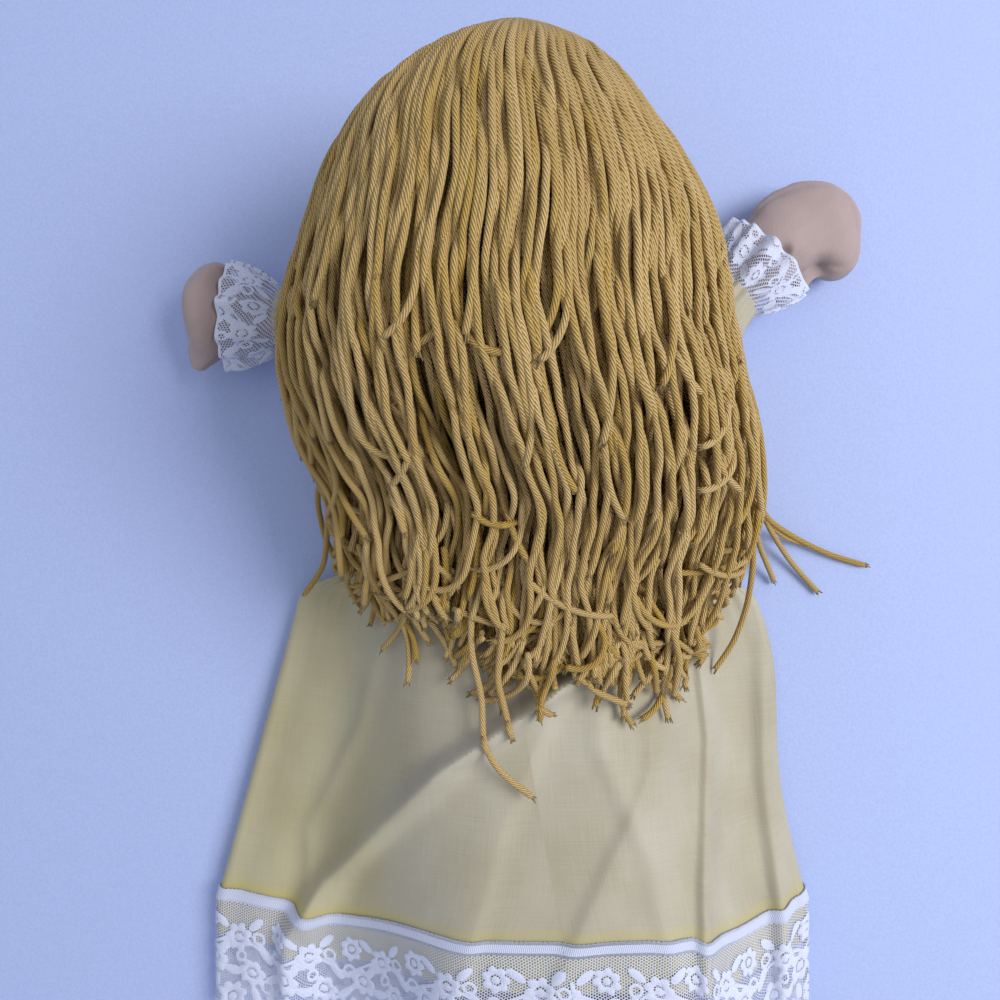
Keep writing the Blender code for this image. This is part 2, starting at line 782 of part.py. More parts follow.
def skirt_top(x, y):
    """Height of the skirt's back: a hump over the hips and legs, edges near the table, and folds."""
    down = (SKIRT_FULL_Y - y) / (SKIRT_FULL_Y - LACE_END_Y)
    crest = SKIRT_CREST + (SKIRT_HEM_CREST - SKIRT_CREST) * smooth(down)
    edge = skirt_floor() + 2 * SKIRT_EDGE_ROUND
    reach = min(SKIRT_HUMP_WIDTH / 2, HUMP_SHARE * skirt_half_width(y))
    away = abs(x - skirt_middle(y)) / reach
    hump = math.exp(-(away ** 4))
    inside = smooth((skirt_half_width(y) - abs(x)) / (4 * SKIRT_EDGE_ROUND))
    return edge + (crest - edge) * hump + skirt_folds(x, y) * inside


def skirt_section(side, y):
    """Points from the front's middle round the side to the back's middle, at one place."""
    front, edge, back = SKIRT_STEPS_ROUND
    radius = SKIRT_EDGE_ROUND
    near = skirt_middle(y) + side * PLACKET_GAP / 2
    far = side * (skirt_half_width(y) - radius)
    floor = skirt_floor()
    points = [(near + (far - near) * step / front, floor) for step in range(front)]
    for step in range(edge + 1):
        angle = -math.pi / 2 + math.pi * step / edge
        points.append(
            (far + side * radius * math.cos(angle), floor + radius * (1 + math.sin(angle)))
        )
    for step in range(1, back + 1):
        x = far + (near - far) * step / back
        points.append((x, skirt_top(x, y)))
    return points


def waist_section(side, y, count):
    """The same number of points on the ellipse of the waist seam."""
    wide = SKIRT_WAIST_WIDTH / 2
    deep = torso_depth_at(y, EASE + SKIRT_CLOTH)
    points = []
    for step in range(count):
        angle = -math.pi / 2 + math.pi * step / (count - 1)
        x = side * (PLACKET_GAP / 2 + (wide - PLACKET_GAP / 2) * math.cos(angle))
        points.append((x, torso_height() + deep * math.sin(angle)))
    return points


def skirt_row(side, y):
    """One row of the skirt: gathered at the waist, and lying on the table below it."""
    drape = skirt_section(side, y)
    waist = waist_section(side, y, len(drape))
    flare = smooth((skirt_top_y() - y) / WAIST_FLARE)
    return [
        (a[0] + (b[0] - a[0]) * flare, a[1] + (b[1] - a[1]) * flare)
        for a, b in zip(waist, drape)
    ]


def moved_out(points, side, lift):
    """The row with each point moved square to the cloth, for what is sewn on its outside."""
    moved = []
    for index, point in enumerate(points):
        before = points[max(index - 1, 0)]
        after = points[min(index + 1, len(points) - 1)]
        run = math.hypot(after[0] - before[0], after[1] - before[1])
        across = side * (after[1] - before[1]) / run
        upward = -side * (after[0] - before[0]) / run
        moved.append((point[0] + across * lift, point[1] + upward * lift))
    return moved


def skirt_rows():
    """Places of the skirt's rows, close together at the gathers and at the hem band's edges."""
    top = skirt_top_y()
    rows = [top + (HEM_BAND_Y - top) * share for share in SKIRT_ROW_SHARES]
    return rows + [HEM_BAND_Y - HEM_BAND_WIDTH, SKIRT_HEM_Y]


def skirt_cloth(name, side, places, lift, wall, finish):
    """One half of the skirt, or of what is sewn round it, as a thickened sheet."""
    mesh = bmesh.new()
    made = []
    for y in places:
        row = moved_out(skirt_row(side, y), side, lift)
        made.append([mesh.verts.new((x, y, z)) for x, z in row])
    for upper, lower in zip(made, made[1:]):
        for index in range(len(upper) - 1):
            mesh.faces.new((upper[index], upper[index + 1], lower[index + 1], lower[index]))
    obj = add_object(name, mesh, finish)
    outward_sheet(obj)
    thicken(obj, wall, outward=False)


def outward_sheet(obj):
    """Turns a skirt's sheet so that its faces point away from the legs."""
    middle = sum((face.center for face in obj.data.polygons), Vector((0, 0, 0)))
    middle /= len(obj.data.polygons)
    middle.z = LEG_HEIGHT
    middle.x = skirt_middle(middle.y)
    facing = sum(
        (face.center - middle).dot(face.normal) * face.area for face in obj.data.polygons
    )
    if facing < 0:
        obj.data.flip_normals()


def make_skirt():
    """Two halves of gathered voile, each with its white band and its hem of lace."""
    under_band = HEM_BAND_Y - HEM_BAND_WIDTH
    lift = GAP + CLOTH
    for end, side in (("left", -1), ("right", 1)):
        skirt_cloth("skirt_" + end, side, skirt_rows(), 0, SKIRT_CLOTH, VOILE)
        skirt_cloth("hem_band_" + end, side, (HEM_BAND_Y, under_band), lift, CLOTH, LACE)
        lace = (under_band - GAP, SKIRT_HEM_Y, LACE_END_Y)
        skirt_cloth("hem_lace_" + end, side, lace, lift, CLOTH, LACE)


def cap_stations():
    return grown(head_stations(), GAP + CAP_THICKNESS)


def make_hair_cap(pivot):
    """The yarn base sewn over the back of the head: a thin shell, open at the face."""
    cap = stuffed("hair_cap", cap_stations(), YARN, pivot.location.copy(), pivot)
    cut(cap, stuffed("head_space", grown(head_stations(), GAP)))
    reach = HEAD_WIDTH
    face = box(
        "face_opening",
        Vector((-reach, -reach, -OVERRUN)),
        Vector((reach, 2 * reach, CAP_RIM_HEIGHT)),
    )
    cut(cap, face)
    nape = box(
        "nape_opening",
        Vector((-reach, -reach, -OVERRUN)),
        Vector((reach, NAPE_LINE_Y, HAIR_RIM_HEIGHT + CAP_RIM_HEIGHT)),
    )
    cut(cap, nape)


def hair_edges(y):
    """Left and right edge of the hair at a place along it."""
    along = (y - HAIR_LENGTH_Y) / (HAIR_CROWN_Y - HAIR_LENGTH_Y)
    left = share_at(HAIR_PLAN_SHARES, along, 1) * HAIR_PLAN_WIDTH
    right = share_at(HAIR_PLAN_SHARES, along, 2) * HAIR_PLAN_WIDTH
    return left, right


def hair_top(x, y):
    """Outer surface of the hair: an arch over the head that sinks towards the loose ends."""
    along = (y - HAIR_LENGTH_Y) / (HAIR_CROWN_Y - HAIR_LENGTH_Y)
    crest = share_at(HAIR_CREST_SHARES, along, 1) * HAIR_TOP
    left, right = hair_edges(y)
    middle, half = (left + right) / 2, (right - left) / 2
    across = min(abs(x - middle) / half, 1.0)
    arch = (1.0 - across ** 2.4) ** 0.5
    rim = hair_floor(x, y) + HAIR_RIM_THICKNESS
    return rim + max(crest - rim, 0) * arch


def hair_floor(x, y):
    """Inner surface of the hair: over the arms, the back of the dress and then the skirt."""
    droop = smooth((HAIR_DROOP_Y - y) / HAIR_DROOP_LENGTH)
    floor = HAIR_RIM_HEIGHT + (HAIR_DROOP_HEIGHT - HAIR_RIM_HEIGHT) * droop
    inner = HAIR_BACK_WIDTH / 2
    over_back = 1 - smooth((abs(x) - inner * (1 - HUMP_SHARE / 2)) / (inner * HUMP_SHARE))
    over_back *= smooth((NECK_HINGE_Y + NECK_WIDTH / 2 - y) / (NECK_WIDTH / 2))
    floor += (HAIR_BACK_HEIGHT - HAIR_RIM_HEIGHT) * over_back
    if y < WAIST_Y:
        floor = max(floor, skirt_top(x, y) + 6 * EASE)
    return floor


def hair_slab(name, y_from, y_to, edges, steps, pivot):
    """A mass of yarn between two places along the doll, as an upper and a lower skin."""
    across, down = steps
    mesh = bmesh.new()
    skins = []
    for height in (hair_floor, hair_top):
        skin = []
        for row in range(down + 1):
            y = y_from + (y_to - y_from) * row / down
            left, right = edges(y)
            skin.append([])
            for column in range(across + 1):
                x = left + (right - left) * (0.5 - 0.5 * math.cos(math.pi * column / across))
                skin[-1].append(mesh.verts.new((x, y, height(x, y))))
        skins.append(skin)
    for skin in skins:
        for upper, lower in zip(skin, skin[1:]):
            for index in range(across):
                mesh.faces.new((upper[index], upper[index + 1], lower[index + 1], lower[index]))
    low, high = skins
    rims = [[row[0] for row in low], [row[-1] for row in low], low[0], low[-1]]
    tops = [[row[0] for row in high], [row[-1] for row in high], high[0], high[-1]]
    for rim, top in zip(rims, tops):
        for index in range(len(rim) - 1):
            mesh.faces.new((rim[index], rim[index + 1], top[index + 1], top[index]))
    return add_object(name, mesh, YARN, pivot.location.copy(), pivot)


def lock_edges(low_share, high_share):
    """Edges of one lock of the fall, as shares of the hair's width, kept inside its outline."""
    def edges(y):
        left, right = hair_edges(y)
        low = left if low_share is None else low_share * HAIR_PLAN_WIDTH / 2 + LOCK_GAP / 2
        high = right if high_share is None else high_share * HAIR_PLAN_WIDTH / 2 - LOCK_GAP / 2
        return max(low, left), min(high, right)
    return edges


def hair_room():
    """The head and its cap, a gap larger, which the masses of yarn are hollowed by."""
    return stuffed("hair_room", grown(cap_stations(), GAP))


def make_hair(pivot):
    """The mass over the head, and three locks that fall from the nape over the back."""
    nape = HAIR_NAPE_Y
    room = hair_room()
    back = hair_slab(
        "hair_back", HAIR_CROWN_Y, nape + LOCK_GAP, hair_edges, HAIR_STEPS, pivot
    )
    cut(back, room)
    make_fringe(pivot, room)
    length = HAIR_CROWN_Y - HAIR_LENGTH_Y
    low, high = LOCK_EDGE_SHARES
    spans = ((None, low), (low, high), (high, None))
    for name, share, span, steps in zip(LOCK_NAMES, LOCK_END_SHARES, spans, LOCK_STEPS):
        end = HAIR_LENGTH_Y + share * length
        hair_slab(name, nape, end, lock_edges(*span), steps, pivot)


def make_fringe(pivot, room):
    """The yarn round the forehead, between the mass over the head and the table."""
    reach = HAIR_CROWN_Y - HEAD_CENTRE_Y - LOCK_GAP
    top = HAIR_RIM_HEIGHT - LOCK_GAP
    mesh = bmesh.new()
    bmesh.ops.create_cone(
        mesh,
        cap_ends=True,
        segments=4 * RING_SIDES,
        radius1=reach * FRINGE_TAPER_SHARE,
        radius2=reach,
        depth=top - FRINGE_HEIGHT,
    )
    for vertex in mesh.verts:
        vertex.co += Vector((0, HEAD_CENTRE_Y, (top + FRINGE_HEIGHT) / 2))
    fringe = add_object("hair_fringe", mesh, YARN, pivot.location.copy(), pivot)
    cut(fringe, room)
    low = Vector((-HEAD_WIDTH, -HEAD_WIDTH, -OVERRUN))
    high = Vector((HEAD_WIDTH, FRINGE_START_Y, HEAD_DEPTH))
    cut(fringe, box("fringe_limit", low, high))


def make_doll():
    clear_scene()
    table = table_cutter()
    neck_pivot = add_pivot("neck_pivot", Vector((0, NECK_HINGE_Y, NECK_HEIGHT)))
    make_torso(table)
    make_neck()
    make_head(neck_pivot, table)
    make_face(neck_pivot)
    for end, side in (("left", -1), ("right", 1)):
        shoulder = add_pivot("shoulder_pivot_" + end, shoulder_place(side))
        make_arm("arm_" + end, side, shoulder, table)
        make_sleeve("sleeve_" + end, side, shoulder)
        make_cuff("cuff_lace_" + end, side, shoulder)
        hip = add_pivot("hip_pivot_" + end, hip_place(side))
        make_leg("leg_" + end, side, hip, table)
    make_bodice(table)
    make_waistband()
    make_skirt()
    make_hair_cap(neck_pivot)
    make_hair(neck_pivot)


make_doll()
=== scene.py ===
"""A rag doll lying face down: plied yarn hair, stuffed cotton limbs, a sheer dress and a lace hem."""

import math

import bpy
import numpy as np
from bpy.props import FloatProperty, FloatVectorProperty, IntProperty, PointerProperty
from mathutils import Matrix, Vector


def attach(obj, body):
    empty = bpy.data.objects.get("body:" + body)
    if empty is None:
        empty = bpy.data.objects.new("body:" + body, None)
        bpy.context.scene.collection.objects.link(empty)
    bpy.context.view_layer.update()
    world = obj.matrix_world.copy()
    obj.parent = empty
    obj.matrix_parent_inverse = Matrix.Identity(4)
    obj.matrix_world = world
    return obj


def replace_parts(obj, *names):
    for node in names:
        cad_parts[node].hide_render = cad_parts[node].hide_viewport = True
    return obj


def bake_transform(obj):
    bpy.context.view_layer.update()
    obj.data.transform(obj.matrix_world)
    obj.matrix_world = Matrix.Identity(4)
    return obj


bl_info = {
    "name": "Rag Doll",
    "version": (1, 0, 0),
    "blender": (4, 5, 0),
    "location": "View3D > Sidebar > Rag Doll",
    "description": "Dresses the packed frame of a rag doll with yarn, cotton, voile and lace",
    "category": "Add Mesh",
}

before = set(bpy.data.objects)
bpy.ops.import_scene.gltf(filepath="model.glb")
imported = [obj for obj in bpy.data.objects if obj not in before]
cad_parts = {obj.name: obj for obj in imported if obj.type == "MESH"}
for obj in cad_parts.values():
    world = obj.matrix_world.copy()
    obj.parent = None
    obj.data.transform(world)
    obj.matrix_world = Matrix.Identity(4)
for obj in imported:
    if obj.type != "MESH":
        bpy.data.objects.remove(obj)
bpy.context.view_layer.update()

# Places along the doll, in metres: +Y to the crown, +Z up from the table, +X to the doll's right
CROWN_Y = 0.147
NECKLINE_Y = 0.011
WAIST_Y = -0.006
WAISTBAND_Y = (-0.0063, -0.0113)
SKIRT_START_Y = -0.0119
SKIRT_FULL_Y = -0.036
GATHERS_END_Y = -0.05
HIP_Y = -0.060
BAND_Y = -0.157
BAND_WIDTH = 0.0045
SKIRT_END_Y = -0.176
LACE_END_Y = -0.206
TORSO_MIDDLE = 0.0241
TORSO_TOP_Y = 0.021
TORSO_LENGTH = 0.081
TORSO_HALF_WIDTH = 0.0415
TORSO_HALF_DEPTH = 0.023
# Torso: share of its length from the top, and shares of its half width and depth there
TORSO_SHARES = (
    (0.00, 0.40, 0.42), (0.05, 0.66, 0.66), (0.13, 0.92, 0.88), (0.24, 1.00, 1.03),
    (0.33, 0.98, 0.97), (0.42, 0.94, 0.85), (0.55, 0.94, 0.80), (0.70, 0.99, 0.76),
)
HEAD_MIDDLE = (0.0, 0.079, 0.049)
CAP_RADII = (0.0568, 0.0588, 0.0532)
SHOULDER = (0.0518, 0.007, 0.0245)
ARM_LENGTH = 0.138
ARM_RADIUS = 0.0120
HAND_HEIGHT = 0.0165
SLEEVE_END = 0.60
CUFF_LENGTH = 0.0215
# Half width and half depth of the lace cuff, at its gathers and at its edge
CUFF_WIDTHS = (0.0115, 0.0200)
CUFF_DEPTHS = (0.0108, 0.0148)
# Thickness of the voile, and of the sleeves, which are drawn thinner
VOILE_WALL = 0.0005
SLEEVE_WALL = 0.0004
# How far outside the torso the bodice and the waistband lie
BODICE_EASE = 0.0014
WAISTBAND_EASE = 0.0022
# How far outside the arm the sleeve lies at its ends, and how much more it puffs out between
SLEEVE_EASE = 0.0012
SLEEVE_PUFF = 0.0034
# Depth of the small pleats at a sleeve's ends
PLEAT_DEPTH = 0.0007
# The doll's own sides, and the sign of X on each
SIDES = {"left": -1, "right": 1}

# Heading of the arm in degrees from the doll's side: upper arm, forearm and hand
HEADINGS = {"right": (71.0, 46.0, -15.0), "left": (73.0, 4.0, -6.0)}
ELBOW_TURN = (0.36, 0.56)
WRIST_TURN = (0.74, 1.00)
# Hands: growth past the wrist, soft pulls in plan (place, width, step) and pits (place, width, depth);
# the pits are painted darker by their depth, as shade
HAND_GROWTH = {"left": (1.05, 1.08, 1.06), "right": (1.20, 1.17, 1.16)}
HAND_PULLS = {
    "left": (((-0.1185, 0.0885), 0.008, (0.0040, 0.0015)),),
    "right": (((0.1195, 0.0825), 0.0095, (-0.0078, 0.0010)),
              ((0.1300, 0.0980), 0.0095, (0.0030, -0.0055)),
              ((0.1205, 0.0870), 0.0042, (-0.0005, 0.0048))),
}
HAND_PITS = {
    "left": (((-0.108, 0.062), 0.0022, 0.0016),),
    "right": (((0.1040, 0.0950), 0.0022, 0.0022), ((0.1100, 0.0935), 0.0030, 0.0006),
              ((0.1205, 0.0915), 0.0040, 0.0020)),
}
# A pit of this depth or more gets the darkest painted shade that pits get
DEEP_PIT = 0.0022

# Outline of the hair in plan: place along, left edge, right edge
HAIR_EDGES = (
    (-0.068, -0.034, 0.066), (-0.057, -0.050, 0.077), (-0.042, -0.060, 0.081),
    (-0.023, -0.066, 0.083), (-0.003, -0.066, 0.087), (0.023, -0.077, 0.085),
    (0.053, -0.081, 0.076), (0.088, -0.072, 0.069), (0.109, -0.064, 0.0575),
    (0.120, -0.057, 0.050), (0.135, -0.041, 0.038), (0.143, -0.026, 0.025),
    (0.148, -0.014, 0.013),
)
# Crest of the hair: place along, height
HAIR_CREST = (
    (-0.068, 0.065), (-0.046, 0.071), (-0.025, 0.078), (-0.003, 0.090), (0.018, 0.105),
    (0.040, 0.117), (0.070, 0.122), (0.088, 0.121), (0.118, 0.113), (0.135, 0.101),
    (0.148, 0.083),
)
# Where the longest strands end: place across, place along
HAIR_ENDS = (
    (-0.075, -0.020), (-0.060, -0.028), (-0.045, -0.044), (-0.015, -0.043), (-0.005, -0.064),
    (0.058, -0.066), (0.072, -0.046), (0.090, -0.022),
)
# Strands that lie apart from the rest, on the skirt or the table: points from root to end
LOOSE_STRANDS = (
    ((-0.014, -0.030, 0.068), (-0.015, -0.050, 0.063), (-0.0105, -0.068, 0.0585),
     (-0.0115, -0.081, 0.0580), (-0.0065, -0.092, 0.0565), (0.0060, -0.1015, 0.0555)),
    ((-0.004, -0.040, 0.069), (-0.006, -0.060, 0.062), (-0.003, -0.072, 0.0595),
     (-0.001, -0.081, 0.058)),
    ((0.084, 0.000, 0.046), (0.0885, -0.022, 0.036), (0.0895, -0.040, 0.026),
     (0.0860, -0.056, 0.020), (0.0790, -0.066, 0.019)),
    ((0.080, 0.020, 0.050), (0.090, 0.002, 0.034), (0.101, -0.008, 0.014),
     (0.117, -0.016, 0.0035), (0.131, -0.023, 0.0020), (0.146, -0.027, 0.0015)),
    ((0.083, 0.012, 0.046), (0.093, 0.000, 0.026), (0.104, -0.012, 0.009),
     (0.115, -0.026, 0.0025), (0.1265, -0.038, 0.0015)),
    ((0.081, 0.016, 0.047), (0.092, 0.003, 0.028), (0.102, -0.009, 0.012),
     (0.112, -0.016, 0.0045), (0.1225, -0.0185, 0.0020)),
    ((0.082, 0.004, 0.044), (0.091, -0.008, 0.027), (0.100, -0.020, 0.010),
     (0.108, -0.033, 0.0022)),
    ((-0.064, 0.012, 0.050), (-0.068, -0.010, 0.038), (-0.073, -0.026, 0.022),
     (-0.082, -0.037, 0.016)),
    ((-0.066, 0.020, 0.048), (-0.074, 0.000, 0.030), (-0.073, -0.015, 0.021),
     (-0.068, -0.026, 0.018)),
    ((0.018, -0.040, 0.068), (0.021, -0.056, 0.063), (0.026, -0.064, 0.060),
     (0.038, -0.0695, 0.0575)),
    ((0.040, -0.044, 0.064), (0.037, -0.058, 0.059), (0.0385, -0.070, 0.0555)),
    ((0.052, -0.040, 0.060), (0.057, -0.055, 0.054), (0.0565, -0.069, 0.047)),
)
# Length of a strand's curl and its steps, plies in a strand, and the length of one turn of them
CURL = 0.022
CURL_STEPS = 30
PLIES = 8
LAY = 0.0128
# Yarn cap: ribs over half a turn round the head, and their height
CAP_RIBS = 32
RIB_HEIGHT = 0.0007
# Hairline: share of the cap's radii, and how far it lies under the head's middle
HAIRLINE_SHARE = 0.82
HAIRLINE_DROP = 0.033
# Waves of a strand as height and pace: sideways in metres, and up as a share of the hair's depth
SWAYS = ((0.0015, 50), (0.0010, 95), (0.0007, 210), (0.0003, 470))
LIFTS = ((0.09, 70), (0.07, 150), (0.04, 320))
# Layers of strands from the outer one in: depth, share of the strands, sides and steps of a strand,
# share of them that run to the end, and how much shorter the others are at most
LAYERS = (
    (0.97, 1.0, 8, 170, 0.30, 0.100), (0.80, 1.0, 6, 150, 0.55, 0.060),
    (0.58, 0.9, 6, 120, 1.0, 0.0), (0.34, 0.9, 6, 110, 1.0, 0.0), (0.12, 1.15, 6, 90, 1.0, 0.0),
)
# Inner surface of the hair: height beside the back, how far it sinks past the waist, and what the
# back and the skirt's cloth add
HAIR_LOW = 0.0405
HAIR_SINKS = 0.0185
BACK_RISE = 0.011
CLOTH_ROOM = 0.0030
# Room for half a strand inside both surfaces, and height of the hair's rim over its inner surface
STRAND_ROOM = 0.0012
RIM_HEIGHT = 0.006
# Strands are spread out evenly between the hair's edges at this place along it
SPREAD_Y = -0.03
# Fine lines at a frayed end, and their radius
FRAY_COUNT = 8
FRAY_RADIUS = 0.00024

# Folds of the skirt's back: width of the left and right slopes, height, and places down and across
FOLDS = (
    (0.0042, 0.0085, 1.60, ((0.15, 0.42), (0.26, 0.198), (0.435, -0.215), (0.675, -0.613),
                            (0.818, -0.75))),
    (0.0030, 0.0060, 0.80, ((0.226, 0.60), (0.42, 0.63), (0.658, 0.59))),
    (0.0040, 0.0050, 0.90, ((0.508, 0.86), (0.752, 0.90))),
    (0.0100, 0.0100, 0.45, ((0.282, -0.62), (0.846, -0.86))),
    (0.0120, 0.0050, 0.40, ((0.33, 0.10), (0.56, -0.05), (0.90, -0.20))),
    (0.0040, 0.0090, 0.35, ((0.45, 0.42), (0.60, 0.30), (0.85, 0.12))),
    (0.0050, 0.0050, 0.25, ((0.40, 0.25), (0.60, 0.40), (0.85, 0.50))),
    (0.0035, 0.0045, 0.30, ((0.20, -0.40), (0.40, -0.50), (0.60, -0.68))),
)
# Height that a fold of height 1 stands up, and half the width that its places across are shares of
FOLD_HEIGHT = 0.0055
FOLD_REACH = 0.119
# Radii of the ring at the waist that the skirt is gathered to
WAIST_RADII = (0.045, 0.0235)
# Skirt's width at the waist, and what the quick and then the slow flare add to it
WAIST_WIDTH = 0.090
QUICK_FLARE = 0.082
SLOW_FLARE = 0.066
# The right side is fuller round one place: how much, where along, and over what length
FULLER = (0.0135, -0.055, 0.045)
# Height of the skirt's back at its edge and its crest at the hips, and how far the crest sinks
SKIRT_EDGE = 0.0084
SKIRT_CREST = 0.0515
CREST_DROP = 0.0075
# Lowest height of the skirt's front, and radius of the bend at its sides
FRONT_HEIGHT = 0.0014
SIDE_RADIUS = 0.0035
# Depth of the small gathers under the waistband
GATHER_DEPTH = 0.0006
# The cloth sags at the sides: how much, over what width, and how far out on each side
SAG = 0.0080
SAG_WIDTH = 0.024
SAG_PLACE = {"left": 0.070, "right": 0.090}

# Filling: how far its pressure may push the cloth out, and the frames that the simulation runs
MOST_MOVED = 0.0009
PRESSURE = 4.0
LAST_FRAME = 20
# Size of a stuffed form's faces before they are divided
ARM_VOXEL = 0.0032
BODY_VOXEL = 0.004
# Seam of a limb: half its width and its depth
SEAM = (0.0009, 0.0004)
# Height of the filling's lumps
LUMPS = 0.0003
# Face: width and height of its stitches
STITCH_WIDTH = 0.0009
STITCH_HEIGHT = 0.00025

# One repeat of the lace's pattern: shape, place along and down, size, and turn
LACE_REPEAT = 0.034
LACE_MOTIFS = (
    ("blossom", 0.0060, 0.0095, 0.0053, 0.0), ("blossom", 0.0215, 0.0135, 0.0058, 0.4),
    ("blossom", 0.0105, 0.0230, 0.0062, 0.9), ("blossom", 0.0270, 0.0275, 0.0056, 0.2),
    ("blossom", 0.0040, 0.0350, 0.0056, 0.5), ("blossom", 0.0185, 0.0370, 0.0062, 1.1),
    ("leaf", 0.0135, 0.0075, 0.0040, 0.6), ("leaf", 0.0290, 0.0075, 0.0038, 2.4),
    ("leaf", 0.0155, 0.0175, 0.0040, 2.2), ("leaf", 0.0325, 0.0185, 0.0042, 0.9),
    ("leaf", 0.0190, 0.0265, 0.0042, 0.3), ("leaf", 0.0020, 0.0270, 0.0040, 2.7),
    ("leaf", 0.0285, 0.0370, 0.0045, 1.3), ("leaf", 0.0115, 0.0325, 0.0036, 1.8),
    ("ring", 0.0300, 0.0130, 0.0021, 0.0), ("ring", 0.0040, 0.0185, 0.0023, 0.0),
    ("ring", 0.0225, 0.0210, 0.0019, 0.0), ("ring", 0.0330, 0.0310, 0.0022, 0.0),
)
# Distance between two holes of the net
NET_MESH = 0.0011
# Over this length the depth inside a motif goes from the net to the solid
MOTIF_EDGE = 0.002
# The wavy stem between the blossoms: half its width, place down and height of its waves
STEM = (0.0006, 0.0165, 0.0030)
# Lower edge of the hem lace: its place down, and height of its scallops
SCALLOP = (0.0420, 0.0012)
# Teeth of the hem band's edges
TOOTH_HEIGHT = 0.0004
TOOTH_WIDTH = 0.0017

# Stage: height of the floor under the doll, place and lens of the camera, place, side and power
# of the lamp, and strength of the sky
FLOOR_HEIGHT = -0.0003
LENS = 27.0
CAMERA_PLACE = (-0.005, 0.0, 0.312)
LAMP_PLACE = (0.92, 0.14, 1.00)
LAMP_SIDE = 0.7
LAMP_POWER = 13.8
SKY_STRENGTH = 0.58


def smooth(value):
    """Goes from 0 to 1 with level ends as the value goes from 0 to 1."""
    held = np.clip(value, 0.0, 1.0)
    return held * held * (3.0 - 2.0 * held)


def curve(rows, at, column=1):
    """A smooth curve through a table's rows: between two of them, a cubic with their slopes."""
    table = np.array(sorted(rows), float)
    xs, ys = table[:, 0], table[:, column]
    slopes = np.gradient(ys, xs)
    at = np.clip(np.asarray(at, float), xs[0], xs[-1])
    index = np.clip(np.searchsorted(xs, at) - 1, 0, len(xs) - 2)
    width = xs[index + 1] - xs[index]
    t = (at - xs[index]) / width
    low = (1 + 2 * t) * (1 - t) ** 2 * ys[index] + t * (1 - t) ** 2 * width * slopes[index]
    high = t * t * (3 - 2 * t) * ys[index + 1] + t * t * (t - 1) * width * slopes[index + 1]
    return low + high


def unit(vectors):
    """Vectors made 1 long, each in its own direction."""
    return vectors / np.linalg.norm(vectors, axis=-1, keepdims=True)


def run_along(lines):
    """Length from a line's start to each of its points; lines may be one or an array of them."""
    steps = np.linalg.norm(np.diff(lines, axis=-2), axis=-1)
    return np.concatenate([np.zeros_like(steps[..., :1]), np.cumsum(steps, -1)], -1)


# Meshes


def add_object(name, data):
    """An object with its data, in the scene."""
    made = bpy.data.objects.new(name, data)
    bpy.context.scene.collection.objects.link(made)
    return made


def mark(mesh, key, values):
    """Keeps one number per point on a mesh, for its material."""
    attribute = mesh.attributes.new(key, "FLOAT", "POINT")
    attribute.data.foreach_set("value", np.ascontiguousarray(values, np.float32).reshape(-1))


def add_mesh(name, points, faces, corners_uv=None, marks=None):
    """A mesh object from points, arrays of faces and, for each face corner, its place on the cloth."""
    mesh = bpy.data.meshes.new(name)
    sizes = np.concatenate([np.full(len(f), f.shape[1], np.int32) for f in faces])
    corners = np.concatenate([f.reshape(-1) for f in faces]).astype(np.int32)
    mesh.vertices.add(len(points))
    mesh.vertices.foreach_set("co", np.ascontiguousarray(points, np.float32).reshape(-1))
    mesh.loops.add(len(corners))
    mesh.loops.foreach_set("vertex_index", corners)
    mesh.polygons.add(len(sizes))
    starts = np.concatenate([[0], np.cumsum(sizes)[:-1]]).astype(np.int32)
    mesh.polygons.foreach_set("loop_start", starts)
    mesh.update(calc_edges=True)
    if corners_uv is not None:
        layer = mesh.uv_layers.new(name="cloth")
        layer.data.foreach_set("uv", np.ascontiguousarray(corners_uv, np.float32).reshape(-1))
    for key, values in (marks or {}).items():
        mark(mesh, key, values)
    mesh.validate()
    mesh.shade_smooth()
    return add_object(name, mesh)


def grid_faces(rows, columns, ring):
    """Four-sided faces of a grid, with the row and column of each corner; a ring's last is its first."""
    across = columns if ring else columns - 1
    row, column = np.meshgrid(np.arange(rows - 1), np.arange(across), indexing="ij")
    corner_rows = np.stack([row, row, row + 1, row + 1], -1).reshape(-1, 4)
    corner_columns = np.stack([column, column + 1, column + 1, column], -1).reshape(-1, 4)
    return corner_rows * columns + corner_columns % columns, corner_rows, corner_columns


def add_surface(name, grid, ring=False, closed=False, flip=False, marks=None):
    """A sheet through a grid of points, with its place on the cloth in metres.

    closed is for a ring whose first row is joined to a point in its middle.
    """
    rows, columns = grid.shape[:2]
    faces, corner_rows, corner_columns = grid_faces(rows, columns, ring)
    u = run_along(np.concatenate([grid, grid[:, :1]], 1) if ring else grid)
    u = u - u.mean(1, keepdims=True)
    v = run_along(grid.swapaxes(0, 1)).mean(0)
    uv = np.stack([u[corner_rows, corner_columns], v[corner_rows]], -1)
    points = grid.reshape(-1, 3)
    sets = [faces]
    uvs = [uv.reshape(-1, 2)]
    if closed:
        first = np.arange(columns)
        sets.append(np.stack([np.roll(first, -1), first, np.full(columns, len(points))], 1))
        points = np.concatenate([points, grid[:1].mean(1)])
        uvs.append(np.zeros((3 * columns, 2)))
    if flip:
        sets = [f[:, ::-1] for f in sets]
        uvs[0] = uv[:, ::-1].reshape(-1, 2)
    return add_mesh(name, points, sets, np.concatenate(uvs), marks)


def paint(piece, material):
    """Gives a piece its material."""
    piece.data.materials.clear()
    piece.data.materials.append(material)
    return piece


